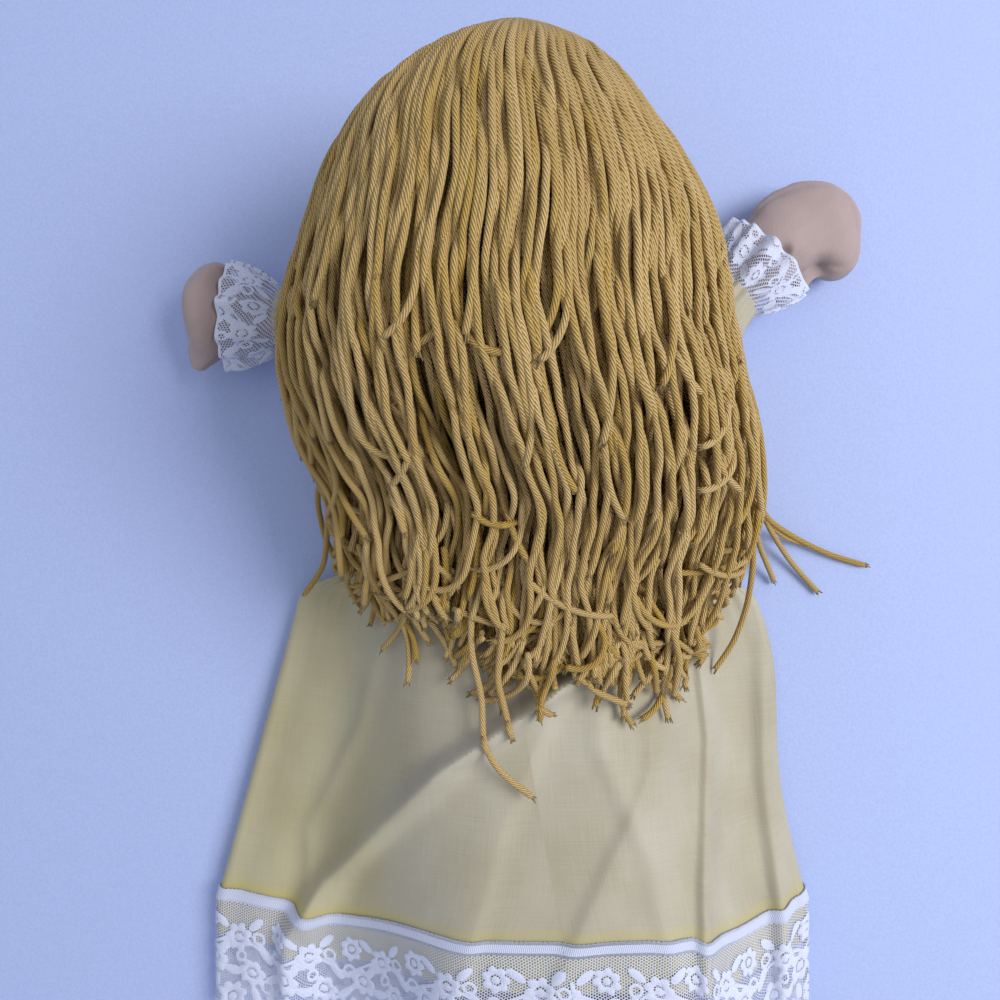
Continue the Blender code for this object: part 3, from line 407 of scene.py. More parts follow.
def settle(piece, *modifiers):
    """Applies modifiers to a piece, so that its own mesh is final."""
    for kind, values in modifiers:
        added = piece.modifiers.new(kind.lower(), kind)
        for key, value in values.items():
            setattr(added, key, value)
    graph = bpy.context.evaluated_depsgraph_get()
    final = bpy.data.meshes.new_from_object(
        piece.evaluated_get(graph), preserve_all_data_layers=True, depsgraph=graph
    )
    piece.modifiers.clear()
    old = piece.data
    piece.data = final
    bpy.data.meshes.remove(old)
    final.name = piece.name
    final.set_sharp_from_angle(angle=math.radians(60))
    return piece


def cloth_wall(piece, thickness):
    """Gives a sheet its wall, inwards from the side that shows."""
    return settle(piece, ("SOLIDIFY", {"thickness": thickness, "offset": -1.0}))


# Materials


def linear(text):
    """Linear colour of an sRGB hex value."""
    values = [int(text[i:i + 2], 16) / 255 for i in (0, 2, 4)]
    return [v / 12.92 if v <= 0.04045 else ((v + 0.055) / 1.055) ** 2.4 for v in values]


def shade(colour, share=1.0):
    """A linear colour made darker or lighter by a share, with full cover."""
    return [min(value * share, 1.0) for value in colour[:3]] + [1.0]


def set_inputs(tree, node, inputs):
    """Gives a node's inputs their numbers or colours, or links the sockets that feed them."""
    for key, value in inputs.items():
        if isinstance(value, bpy.types.NodeSocket):
            tree.links.new(value, node.inputs[key])
        else:
            node.inputs[key].default_value = value


def add_node(tree, kind, out, inputs=None, stops=(), **settings):
    """Adds a shader node with its settings, inputs and colour stops, and returns one of its outputs."""
    node = tree.nodes.new(kind)
    for key, value in settings.items():
        setattr(node, key, value)
    set_inputs(tree, node, inputs or {})
    for index, (place, colour) in enumerate(stops):
        elements = node.color_ramp.elements
        element = elements[index] if index < 2 else elements.new(place)
        element.position = place
        element.color = colour
    return node.outputs[out]


def weighted_sum(tree, base, parts):
    """A number plus each source times its weight."""
    for source, weight in parts:
        base = add_node(tree, "ShaderNodeMath", 0, {0: source, 1: weight, 2: base},
                        operation="MULTIPLY_ADD")
    return base


def colour_and_bump(tree, surface, source, stops, height, distance, inputs):
    """Colours a surface by a number's stops, raises it by a height, and sets its other inputs."""
    colour = add_node(tree, "ShaderNodeValToRGB", 0, {0: source}, stops=stops)
    normal = add_node(tree, "ShaderNodeBump", 0, {"Height": height, "Distance": distance})
    set_inputs(tree, surface, {"Base Color": colour, "Normal": normal, **inputs})


def new_material(name):
    """A material with one Principled shader, with its tree and that shader."""
    made = bpy.data.materials.new(name)
    made.use_nodes = True
    return made, made.node_tree, made.node_tree.nodes["Principled BSDF"]


def yarn_material(colours):
    """Plied cotton yarn, spun and dyed: matte, in fine slanting plies with brown painted shade between.

    The plies are about 1.6 mm apart along a strand, painted lighter on their crests. The tone that each
    strand carries makes some darker: partly at random, as the dye took unevenly, and partly as painted
    shade, in the deeper layers and between the cap's ribs.
    """
    made, tree, surface = new_material("plied_cotton_yarn")
    # The tone mark is partly random tone and partly painted shade
    tone_and_shade = add_node(tree, "ShaderNodeAttribute", "Fac", attribute_name="tone_and_shade")
    cloth = add_node(tree, "ShaderNodeUVMap", "UV", uv_map="cloth")
    around = add_node(tree, "ShaderNodeSeparateXYZ", "X", {"Vector": cloth})
    turn = add_node(tree, "ShaderNodeMath", 0, {0: around, 1: math.pi * PLIES}, operation="MULTIPLY")
    wave = add_node(tree, "ShaderNodeMath", 0, {0: turn}, operation="SINE")
    # The ply value is 0 in a groove and 1 on a crest: it raises the plies and paints shade into the grooves
    ply_relief_and_shade = add_node(tree, "ShaderNodeMath", 0, {0: wave}, operation="ABSOLUTE")
    place = add_node(tree, "ShaderNodeTexCoord", "Object")
    fuzz = add_node(tree, "ShaderNodeTexNoise", "Fac", {"Vector": place, "Scale": 1500.0, "Detail": 3.0})
    patch = add_node(tree, "ShaderNodeTexNoise", "Fac", {"Vector": place, "Scale": 45.0, "Detail": 2.0})
    base = weighted_sum(tree, 0.02, ((ply_relief_and_shade, 0.34), (tone_and_shade, 0.36), (fuzz, 0.34), (patch, 0.24)))
    # The darker colour and the lower stops are painted shade in the grooves and deep layers, and darker
    # yarn at random
    dark_and_shade, light = colours.yarn_dark_and_shade, colours.yarn_light
    stops = ((0.0, shade(dark_and_shade, 0.42)), (1.0, shade(light)), (0.50, shade(dark_and_shade, 1.1)),
             (0.80, shade(light, 0.78)))
    colour_and_bump(tree, surface, base, stops, ply_relief_and_shade, 0.0004, {
        "Roughness": 0.9, "Specular IOR Level": 0.2, "Sheen Weight": 0.12, "Sheen Roughness": 0.5,
    })
    return made


def skin_material(colours):
    """Plain-woven cotton, dyed: matte, with a fine grain, soft stains and painted shade in its seams and
    pits.
    """
    made, tree, surface = new_material("woven_cotton_skin")
    place = add_node(tree, "ShaderNodeTexCoord", "Object")
    crease_shade = add_node(tree, "ShaderNodeAttribute", "Fac", attribute_name="crease_shade")
    grain = add_node(tree, "ShaderNodeTexNoise", "Fac", {"Vector": place, "Scale": 1600.0, "Detail": 2.0})
    patch = add_node(tree, "ShaderNodeTexNoise", "Fac", {"Vector": place, "Scale": 60.0, "Detail": 3.0})
    # The crease mark paints shade into the seams' grooves and the hands' pits
    base = weighted_sum(tree, 0.20, ((grain, 0.22), (patch, 0.50), (crease_shade, -0.45)))
    stops = ((0.0, shade(colours.skin, 0.35)), (1.0, shade(colours.skin, 1.15)),
             (0.5, shade(colours.skin, 0.9)))
    colour_and_bump(tree, surface, base, stops, grain, 0.0001, {
        "Roughness": 0.85, "Specular IOR Level": 0.3, "Sheen Weight": 0.15,
    })
    return made


def voile_material(colours):
    """Cotton voile, thin and slubbed: a linen-like cross of long thick and thin threads, half sheer.

    Its threads are finer than a pixel, so only the streaks of the thick ones are drawn, about
    1 mm wide. Where the cloth is doubled, its own yellow shows.
    """
    made, tree, surface = new_material("slubbed_voile")
    place = add_node(tree, "ShaderNodeUVMap", "UV", uv_map="cloth")
    doubled = add_node(tree, "ShaderNodeAttribute", "Fac", attribute_name="doubled")
    streaks = []
    for scale, weight in (((60.0, 1700.0, 1.0), 0.24), ((1700.0, 60.0, 1.0), 0.24),
                          ((28.0, 18.0, 1.0), 0.92)):
        spread = add_node(tree, "ShaderNodeMapping", 0, {"Vector": place, "Scale": scale})
        streak = add_node(tree, "ShaderNodeTexNoise", "Fac",
                          {"Vector": spread, "Scale": 1.0, "Detail": 2.0})
        streaks.append((streak, weight))
    base = weighted_sum(tree, -0.18, streaks)
    stops = ((0.0, shade(colours.dress_shade)), (1.0, shade(colours.dress)))
    plain = add_node(tree, "ShaderNodeValToRGB", 0, {0: base}, stops=stops)
    colour = add_node(tree, "ShaderNodeMix", 2, {0: doubled, 6: plain, 7: shade(colours.dress_edge)},
                      data_type="RGBA")
    normal = add_node(tree, "ShaderNodeBump", 0, {"Height": base, "Distance": 0.0003})
    set_inputs(tree, surface, {"Base Color": colour, "Normal": normal, "Alpha": 0.82, "Roughness": 0.6,
                               "Specular IOR Level": 0.35, "Sheen Weight": 0.2})
    return made


def lace_material(colours):
    """Cotton net lace, machine knitted and bleached: a net of six-sided holes with solid motifs.

    The sum of three waves whose headings are 60 degrees apart is low along the sides of hexagons,
    1.1 mm apart, and the thread is there.
    """
    made, tree, surface = new_material("cotton_net_lace")
    place = add_node(tree, "ShaderNodeUVMap", "UV", uv_map="cloth")
    motif = add_node(tree, "ShaderNodeAttribute", "Fac", attribute_name="motif")
    waves = 0.0
    for heading in (0.0, 60.0, 120.0):
        angle = math.radians(heading)
        reach = 4 * math.pi / (math.sqrt(3) * NET_MESH)
        along = (math.cos(angle) * reach, math.sin(angle) * reach, 0.0)
        run = add_node(tree, "ShaderNodeVectorMath", "Value", {0: place, 1: along}, operation="DOT_PRODUCT")
        wave = add_node(tree, "ShaderNodeMath", 0, {0: run}, operation="COSINE")
        waves = add_node(tree, "ShaderNodeMath", 0, {0: wave, 1: waves}, operation="ADD")
    thread = add_node(tree, "ShaderNodeMath", 0, {0: waves, 1: -0.50}, operation="LESS_THAN")
    solid = add_node(tree, "ShaderNodeMath", 0, {0: motif, 1: 0.5}, operation="GREATER_THAN")
    shown = add_node(tree, "ShaderNodeMath", 0, {0: thread, 1: solid}, operation="MAXIMUM")
    grain = add_node(tree, "ShaderNodeTexNoise", "Fac", {"Vector": place, "Scale": 1500.0, "Detail": 2.0})
    height = add_node(tree, "ShaderNodeMath", 0, {0: grain, 1: motif}, operation="ADD")
    stops = ((0.2, shade(colours.lace, 0.8)), (0.8, shade(colours.lace)))
    colour_and_bump(tree, surface, grain, stops, height, 0.0002, {
        "Alpha": shown, "Roughness": 0.7, "Specular IOR Level": 0.3,
    })
    return made


def band_material(colours):
    """A woven cotton edging: close white ribs, 0.7 mm apart, that cross the band, with painted shade
    between.
    """
    made, tree, surface = new_material("woven_edging")
    place = add_node(tree, "ShaderNodeUVMap", "UV", uv_map="cloth")
    rib_height_and_shade = add_node(tree, "ShaderNodeTexWave", "Fac", {"Vector": place, "Scale": 0.314 / 0.0007},
                   bands_direction="X")
    # The colour follows the ribs: painted shade between them
    stops = ((0.0, shade(colours.lace, 0.78)), (1.0, shade(colours.lace)))
    colour_and_bump(tree, surface, rib_height_and_shade, stops, rib_height_and_shade, 0.00015, {
        "Roughness": 0.75, "Specular IOR Level": 0.3,
    })
    return made


def thread_material(name, colour):
    """Embroidery cotton: a soft gloss along close, even stitches."""
    made, tree, surface = new_material(name)
    place = add_node(tree, "ShaderNodeTexCoord", "Object")
    grain = add_node(tree, "ShaderNodeTexNoise", "Fac", {"Vector": place, "Scale": 1800.0})
    stops = ((0.2, shade(colour, 0.6)), (0.8, shade(colour, 1.4)))
    thread = add_node(tree, "ShaderNodeValToRGB", 0, {0: grain}, stops=stops)
    set_inputs(tree, surface, {"Base Color": thread, "Roughness": 0.5})
    return made


def floor_material(colours):
    """The floor under the doll: a plain, pale, bluish cotton sheet, brushed soft."""
    made, tree, surface = new_material("pale_floor")
    place = add_node(tree, "ShaderNodeTexCoord", "Object")
    grain = add_node(tree, "ShaderNodeTexNoise", "Fac", {"Vector": place, "Scale": 900.0, "Detail": 3.0})
    stops = ((0.3, shade(colours.floor, 0.92)), (0.7, shade(colours.floor)))
    colour_and_bump(tree, surface, grain, stops, grain, 0.0001, {
        "Roughness": 0.9, "Specular IOR Level": 0.2,
    })
    return made


# Stuffed forms


def ball_ring(centre, heading, half_width, half_depth, angles):
    """Points of an upright ellipse square to a heading, for whole arrays of places along a limb."""
    side = np.stack([np.sin(heading), -np.cos(heading), np.zeros_like(heading)], -1)
    up = np.array([0.0, 0.0, 1.0])
    across = np.cos(angles)[None, :, None] * half_width[:, None, None] * side[:, None, :]
    upward = np.sin(angles)[None, :, None] * half_depth[:, None, None] * up
    return centre[:, None, :] + across + upward


def shoulder_place(name):
    """The shoulder joint's place in plan."""
    return np.array([SIDES[name] * SHOULDER[0], SHOULDER[1]])


def arm_height(along):
    """Height of an arm's middle line: it comes down from the shoulder to the wrist."""
    return SHOULDER[2] + (HAND_HEIGHT - SHOULDER[2]) * smooth(along / WRIST_TURN[0])


def arm_line(name, along):
    """Middle line and heading of an arm at shares of its length, summed from its headings."""
    upper, fore, hand = HEADINGS[name]
    steps = np.linspace(0, 1.05, 400)
    angle = upper + (fore - upper) * smooth((steps - ELBOW_TURN[0]) / (ELBOW_TURN[1] - ELBOW_TURN[0]))
    angle += (hand - fore) * smooth((steps - WRIST_TURN[0]) / (WRIST_TURN[1] - WRIST_TURN[0]))
    heading = np.radians(angle)
    heading = heading if SIDES[name] > 0 else math.pi - heading
    run = np.stack([np.cos(heading), np.sin(heading)], -1) * ARM_LENGTH * (steps[1] - steps[0])
    place = np.concatenate([[[0, 0]], np.cumsum(run, 0)[:-1]])
    start = shoulder_place(name)
    x = np.interp(along, steps, place[:, 0]) + start[0]
    y = np.interp(along, steps, place[:, 1]) + start[1]
    return np.stack([x, y, arm_height(along)], -1), np.interp(along, steps, heading)


def read_vectors(items, key):
    """One vector for each of a mesh's items, as an array."""
    values = np.zeros(len(items) * 3, np.float32)
    items.foreach_get(key, values)
    return values.reshape(-1, 3).astype(float)


def points_of(piece):
    """The piece's points."""
    return read_vectors(piece.data.vertices, "co")


def move_points(piece, points):
    """Puts the piece's points at new places, none under the table."""
    points[:, 2] = np.maximum(points[:, 2], 0.0)
    piece.data.vertices.foreach_set("co", points.astype(np.float32).reshape(-1))
    piece.data.update()


def push_out(piece, distances):
    """Moves each of the piece's points out from its surface, by its own distance."""
    outward = read_vectors(piece.data.vertex_normals, "vector")
    move_points(piece, points_of(piece) + outward * distances[:, None])


def even_skin(node, name, voxel):
    """A copy of a frame solid with an even skin of small faces."""
    return settle(
        add_object(name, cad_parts[node].data.copy()),
        ("WELD", {"merge_threshold": 0.00002}),
        ("REMESH", {"mode": "VOXEL", "voxel_size": voxel, "use_smooth_shade": True}),
        ("SMOOTH", {"factor": 0.5, "iterations": 3}),
    )


def push_filling(pieces):
    """Lets the filling push the cloth out: a short cloth simulation with pressure and no gravity."""
    rest = [points_of(piece) for piece in pieces]
    for piece in pieces:
        cloth = piece.modifiers.new("filling", "CLOTH")
        cloth.settings.use_pressure = True
        cloth.settings.uniform_pressure_force = PRESSURE
        cloth.settings.effector_weights.gravity = 0.0
        cloth.point_cache.frame_end = LAST_FRAME
    for index in range(1, LAST_FRAME + 1):
        bpy.context.scene.frame_set(index)
    for piece, before in zip(pieces, rest):
        settle(piece)
        moved = points_of(piece) - before
        reach = np.linalg.norm(moved, axis=1, keepdims=True)
        moved *= np.minimum(1.0, MOST_MOVED / np.maximum(reach, 1e-9))
        move_points(piece, before + moved)
    bpy.context.scene.frame_set(1)


def add_lumps(piece, height, seed):
    """Gives a stuffed form the filling's low lumps: products of slow waves, out from its skin."""
    points = points_of(piece)
    wave = 0.0
    dice = np.random.default_rng(seed)
    for scale in (90.0, 160.0, 260.0):
        turn = dice.normal(size=(3, 3))
        phase = dice.uniform(0, 6.28, 3)
        wave = wave + np.sin(points @ turn * scale + phase).prod(1) * 90.0 / scale
    push_out(piece, wave * height)


def sew_seam(piece, node):
    """Draws in the seam along a limb's sides, a groove at the middle line's height, and returns it to be
    painted as shade.
    """
    points = points_of(piece)
    middle = np.full(len(points), TORSO_MIDDLE)
    if node.startswith("arm"):
        away = np.linalg.norm(points[:, :2] - shoulder_place(node[4:]), axis=1)
        middle = arm_height(away / ARM_LENGTH)
    seam = np.exp(-(((points[:, 2] - middle) / SEAM[0]) ** 2))
    push_out(piece, -seam * SEAM[1])
    return seam


def spot(points, place, width):
    """A soft round spot in plan: 1 at its place, and a bell's curve round it."""
    away = (points[:, 0] - place[0]) ** 2 + (points[:, 1] - place[1]) ** 2
    return np.exp(-(away / width ** 2))


def shape_hand(piece, side):
    """Fills out the hand past the wrist, pulls in its finger notch and the stitched dimple, and returns the
    painted shade of its pits.
    """
    points = points_of(piece)
    centre, _ = arm_line(side, np.array([0.72]))
    away = np.linalg.norm(points[:, :2] - shoulder_place(side), axis=1)
    past = smooth((away - 0.092) / 0.012)
    grown = np.array(HAND_GROWTH[side]) - 1
    points = points + (points - centre[0] * (1, 1, 0)) * grown * past[:, None]
    for place, width, step in HAND_PULLS[side]:
        near = spot(points, place, width) * past
        points[:, :2] += near[:, None] * np.array(step)
    dark_and_shade = np.zeros(len(points))
    for place, width, depth in HAND_PITS[side]:
        near = spot(points, place, width) * smooth((points[:, 2] - 0.012) / 0.010)
        points[:, 2] -= near * depth
        # The deeper a pit, the darker the painted shade in it
        dark_and_shade = np.maximum(dark_and_shade, near * min(depth / DEEP_PIT, 1) * 0.7)
    move_points(piece, points)
    return dark_and_shade


# Hair


def hair_edges(y):
    """Left and right edge of the hair at places along it."""
    return curve(HAIR_EDGES, y, 1), curve(HAIR_EDGES, y, 2)


def hair_floor(x, y):
    """Inner surface of the hair: over the arms and table, the head, the back and the skirt."""
    droop = smooth((-0.012 - y) / 0.035)
    floor = HAIR_LOW - HAIR_SINKS * droop
    over_back = 1 - smooth((np.abs(x) - 0.0259) / 0.0233)
    over_back = over_back * smooth((0.0375 - y) / 0.015)
    floor = floor + BACK_RISE * over_back
    away = ((x - HEAD_MIDDLE[0]) / CAP_RADII[0]) ** 2 + ((y - HEAD_MIDDLE[1]) / CAP_RADII[1]) ** 2
    head = HEAD_MIDDLE[2] + CAP_RADII[2] * np.sqrt(np.maximum(1 - away, 0))
    floor = np.where(away < 1, np.maximum(floor, head), floor)
    skirt = np.where(y < -0.014, skirt_top(x, y) + CLOTH_ROOM, 0)
    return np.maximum(floor, skirt)


def hair_top(x, y):
    """Outer surface of the hair: an arch over the head that sinks towards the loose ends."""
    left, right = hair_edges(y)
    middle, half = (left + right) / 2, (right - left) / 2
    across = np.clip(np.abs(x - middle) / half, 0, 1)
    rim = hair_floor(np.where(x > middle, right, left), y) + RIM_HEIGHT
    crest = curve(HAIR_CREST, y)
    return rim + np.maximum(crest - rim, 0) * (1 - across ** 2.1) ** 0.5


def hair_end(x):
    """Where the longest strands end, at places across."""
    return np.interp(x, *np.array(HAIR_ENDS).T)


def even_steps(line, count):
    """A line's points moved to equal steps along it."""
    run = run_along(line)
    at = np.linspace(0, run[-1], count)
    return np.stack([np.interp(at, run, line[:, axis]) for axis in range(3)], 1)


def rounded(line, times):
    """A line with its corners rounded: each point moves towards its neighbours' middle many times."""
    for _ in range(times):
        line[1:-1] = 0.25 * line[:-2] + 0.5 * line[1:-1] + 0.25 * line[2:]
    return line


def hair_height(x, y, share):
    """Height at a share of the way from the hair's inner to its outer surface."""
    low = hair_floor(x, y) + STRAND_ROOM
    high = hair_top(x, y) - STRAND_ROOM
    return low + np.maximum(high - low, 0) * share


def wave_sum(y, table, phases):
    """A sum of slow waves along the hair, each with its height and pace from the table."""
    return sum(height * np.sin(y * pace + phase) for (height, pace), phase in zip(table, phases))


def strand_line(across, depth, end_y, dice, clump):
    """Middle line of one strand: up from the hairline, over the crown, and down to its end.

    Across is its place between the hair's edges, and depth its place from the inner to the outer
    surface. It sways in slow waves with its clump, closes up to the clump's middle and parts from
    it again, and has short crimps of its own. Its last part turns aside in a curl.
    """
    sway_phase, gather_phase, middle, drift = clump
    y = np.linspace(CROWN_Y, end_y + CURL, 170)
    phase = dice.uniform(0, 6.28, 6)
    free = 0.12 + 0.88 * smooth((0.128 - y) / 0.160)
    sway = wave_sum(y, SWAYS, (sway_phase, *phase[:3]))
    left, right = hair_edges(y)
    half = (right - left) / 2
    gathered = (0.30 + 0.30 * np.sin(y * 48 + gather_phase)) * smooth(depth / 0.6)
    shift = (middle - across) * gathered + (drift + 0.035 * dice.normal()) * (CROWN_Y - y) / 0.2
    x = (left + right) / 2 + (across + shift * free) * half * 0.975 + sway * free
    turn = np.clip(dice.normal() * (1.15 - 0.5 * depth), -2.2, 2.2)
    turn = turn * np.linspace(0, 1, CURL_STEPS) ** 1.3
    slant = (x[-1] - x[-8]) / (y[-8] - y[-1])
    step = CURL / CURL_STEPS
    x = np.concatenate([x, x[-1] + np.cumsum(np.sin(turn + 0.6 * slant)) * step])
    y = np.concatenate([y, y[-1] - np.cumsum(np.cos(turn + 0.6 * slant)) * step])
    left, right = hair_edges(y)
    x = np.clip(x, left + 0.001, right - 0.001)
    lifted = wave_sum(y, LIFTS, phase[3:])
    share = np.clip(depth + lifted * (1 - smooth((y - 0.10) / 0.04)), 0.02, 1.0)
    z = hair_height(x, y, share * (1 - 0.45 * smooth((-0.030 - y) / 0.035)))
    rise = np.linspace(0, 1, 26)[:-1]
    angle = math.pi / 2 - across * 1.15
    low = HAIRLINE_SHARE * np.array([math.cos(angle), math.sin(angle), 0.0]) * CAP_RADII
    low[2] = -HAIRLINE_DROP
    high = np.array([x[0], y[0], z[0]]) - HEAD_MIDDLE
    front = low + (high - low) * rise[:, None]
    reach = np.linalg.norm(low) + (np.linalg.norm(high) - np.linalg.norm(low)) * rise
    front = unit(front) * reach[:, None] + HEAD_MIDDLE
    return rounded(np.concatenate([front, np.stack([x, y, z], 1)]), 4)


def tangle_line(dice):
    """A short strand near the hair's lower edge, bent into an arc or a hook over the others."""
    x = dice.uniform(-0.062, 0.080)
    y = hair_end(x) + dice.uniform(0.006, 0.050)
    run = np.linspace(0, dice.uniform(0.014, 0.034), 36)
    angle = -math.pi / 2 + dice.normal() * 0.8 + dice.normal() * 45 * run
    x = x + np.cumsum(np.cos(angle)) * run[1]
    y = y + np.cumsum(np.sin(angle)) * run[1]
    left, right = hair_edges(y)
    x = np.clip(x, left + 0.002, right - 0.002)
    rise = np.sin(np.linspace(0.2, 1, 36) * math.pi) * dice.uniform(-0.2, 0.3)
    share = np.clip(dice.uniform(0.25, 0.85) + rise, 0.05, 0.98)
    return np.stack([x, y, hair_height(x, y, share * smooth((y - hair_end(x) + 0.006) / 0.014))], 1)


def strand_frames(lines):
    """Two directions square to each strand at each point, carried along so that they don't spin."""
    ahead = unit(np.gradient(lines, axis=1))
    side = np.zeros_like(lines)
    side[:, 0] = unit(np.cross(ahead[:, 0], np.array([0.3, 0.9, 0.1])))
    for index in range(1, lines.shape[1]):
        kept = side[:, index - 1]
        side[:, index] = unit(kept - (kept * ahead[:, index]).sum(1, keepdims=True) * ahead[:, index])
    return side, np.cross(ahead, side)


def add_strands(name, lines, radius, tones_and_shade, sides=8, lay=LAY):
    """Plied strands in one mesh: a round profile carried along each line.

    The map's first number is the share of a turn round the strand, plus one turn for each lay
    length along it, so that it stays the same along one ply. Each end is blunt, and a little
    narrower.
    """
    count, steps = lines.shape[:2]
    side, up = strand_frames(lines)
    angle = np.arange(sides) * 2 * math.pi / sides
    wide = np.full(steps, radius)
    wide[0] = wide[-1] = 0.7 * radius
    ring = np.cos(angle)[:, None] * side[:, :, None, :] + np.sin(angle)[:, None] * up[:, :, None, :]
    points = lines[:, :, None, :] + ring * wide[None, :, None, None]
    faces, corner_rows, corner_columns = grid_faces(steps, sides, True)
    each = steps * sides
    shift = (np.arange(count) * (each + 2))[:, None, None]
    quads = (faces[None] + shift).reshape(-1, 4)
    first, last = np.arange(sides), np.arange(sides) + (steps - 1) * sides
    low = np.stack([np.roll(first, -1), first, np.full(sides, each)], 1)
    high = np.stack([last, np.roll(last, -1), np.full(sides, each + 1)], 1)
    tris = (np.concatenate([low, high])[None] + shift).reshape(-1, 3)
    poles = np.stack([lines[:, 0], lines[:, -1]], 1)
    points = np.concatenate([points.reshape(count, each, 3), poles], 1).reshape(-1, 3)
    along = run_along(lines)[:, corner_rows] / lay
    around = corner_columns / sides + along
    uv = np.stack([around.reshape(-1), along.reshape(-1)], 1)
    uv = np.concatenate([uv, np.full((3 * len(tris), 2), 0.03)])
    # Each strand's tone, partly painted shade, goes on all its points
    tone_and_shade = np.broadcast_to(np.asarray(tones_and_shade)[:, None], (count, each + 2))
    return add_mesh(name, points, [quads, tris], uv, {"tone_and_shade": tone_and_shade})


def frayed_ends(lines, dice):
    """Short fine lines that fan out from each strand's end like a small brush, as it frays there."""
    ends = np.array([line[-1] for line in lines])
    ahead = unit(ends - np.array([line[-4] for line in lines]))
    side = dice.normal(size=(len(ends), FRAY_COUNT, 3))
    side = unit(side - ahead[:, None] * (side * ahead[:, None]).sum(2, keepdims=True))
    reach = np.linspace(0, 1, 5)[None, None, :, None]
    length = dice.uniform(0.0014, 0.0034, (len(ends), FRAY_COUNT, 1, 1))
    spread = dice.uniform(0.0001, 0.0009, length.shape)
    fans = (ends - ahead * 0.0012)[:, None, None, :] + ahead[:, None, None, :] * length * reach
    fans = fans + side[:, :, None, :] * (dice.uniform(0, 0.0009, spread.shape) + spread * reach ** 1.5)
    fans[..., 2] = np.maximum(fans[..., 2], 0.0006)
    return fans.reshape(-1, 5, 3)


# Dress


def skirt_half_width(y, sign):
    """Half the skirt's width: the waist, a quick flare, then a slow one, fuller on the right side."""
    quick = smooth((SKIRT_START_Y - y) / (SKIRT_START_Y - SKIRT_FULL_Y))
    slow = np.clip((SKIRT_FULL_Y - y) / (SKIRT_FULL_Y - BAND_Y), 0, 1.04)
    fuller = FULLER[0] * np.exp(-(((y - FULLER[1]) / FULLER[2]) ** 2)) * (np.asarray(sign) > 0)
    return (WAIST_WIDTH + QUICK_FLARE * quick + SLOW_FLARE * slow) / 2 + fuller * quick


def leg_middle(y):
    """The line between the legs, which the skirt's crest and its opening follow."""
    return 0.1768 * np.maximum(HIP_Y - y, 0)


def skirt_folds(x, y):
    """Folds of the skirt's back: each a low ridge along a line, steeper on one side."""
    down = (WAIST_Y - y) / (WAIST_Y - LACE_END_Y)
    total = np.zeros(np.broadcast(x, y).shape)
    for left, right, height, path in FOLDS:
        places = np.array(path)
        away = x - np.interp(down, places[:, 0], places[:, 1]) * FOLD_REACH
        away = away / np.where(away > 0, right, left)
        shown = smooth(down / path[0][0]) * smooth((1.12 - down) / 0.2)
        total = total + height * np.exp(-away * away) * shown
    return total * FOLD_HEIGHT


def skirt_top(x, y):
    """Height of the skirt's back: a hump over hips and legs, low edges, and folds."""
    down = (SKIRT_FULL_Y - y) / (SKIRT_FULL_Y - LACE_END_Y)
    crest = SKIRT_CREST - CREST_DROP * smooth(down)
    half = skirt_half_width(y, np.sign(x))
    reach = np.minimum(0.070, 0.62 * half)
    hump = np.exp(-(np.abs(x - leg_middle(y)) / reach) ** 4)
    inside = smooth((half - np.abs(x)) / 0.014)
    return SKIRT_EDGE + (crest - SKIRT_EDGE) * hump + skirt_folds(x, y) * inside


def hang(piece):
    """Bakes the place of a piece of the skirt into its points."""
    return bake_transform(piece)


def skirt_grid(side, y, lift=0.0, columns=60):
    """Rows of the skirt's half, from the middle of the front, round the side, to the back's middle."""
    sign = SIDES[side]
    near = leg_middle(y)
    far = sign * (skirt_half_width(y, sign) - SIDE_RADIUS)
    front = np.linspace(0, 1, columns + 1)[:-1]
    turn = np.linspace(-math.pi / 2, math.pi / 2, 9)[:-1]
    back = np.linspace(0, 1, 172)
    rows = y[:, None]
    x_front = near[:, None] + (far - near)[:, None] * front
    x_edge = far[:, None] + sign * SIDE_RADIUS * np.cos(turn)
    x_back = far[:, None] + (near - far)[:, None] * back
    x = np.concatenate([x_front, x_edge, x_back], 1)
    z_front = np.full(x_front.shape, FRONT_HEIGHT)
    z_edge = np.broadcast_to(FRONT_HEIGHT + SIDE_RADIUS * (1 + np.sin(turn)), x_edge.shape)
    z = np.concatenate([z_front, z_edge, skirt_top(x_back, rows)], 1)
    share = np.concatenate([0.45 * front, 0.475 + 0.05 * turn / math.pi, 0.5 + 0.5 * back])
    angle = -math.pi / 2 + math.pi * share
    waist_x = sign * WAIST_RADII[0] * np.cos(angle)
    waist_z = TORSO_MIDDLE + WAIST_RADII[1] * np.sin(angle)
    flare = smooth((SKIRT_START_Y - rows) / 0.028)
    x = waist_x + (x - waist_x) * flare
    z = waist_z + (z - waist_z) * flare
    gather = np.sin(share * 150 + 1.7 * np.sin(share * 23)) * (1 - smooth((SKIRT_START_Y - rows) / 0.05))
    slope = np.gradient(z, axis=1)
    run = np.gradient(x, axis=1)
    size = np.sqrt(slope ** 2 + run ** 2) + 1e-9
    reach = gather * GATHER_DEPTH + lift
    sag = SAG * np.exp(-(((np.abs(x) - SAG_PLACE[side]) / SAG_WIDTH) ** 2))
    sag = sag * smooth((-0.05 - rows) / 0.11) * smooth((z - 0.004) / 0.006)
    x = x + sign * slope / size * reach
    z = np.maximum(z - sign * run / size * reach, 0.0003)
    return np.stack([x, rows - sag, z], -1)


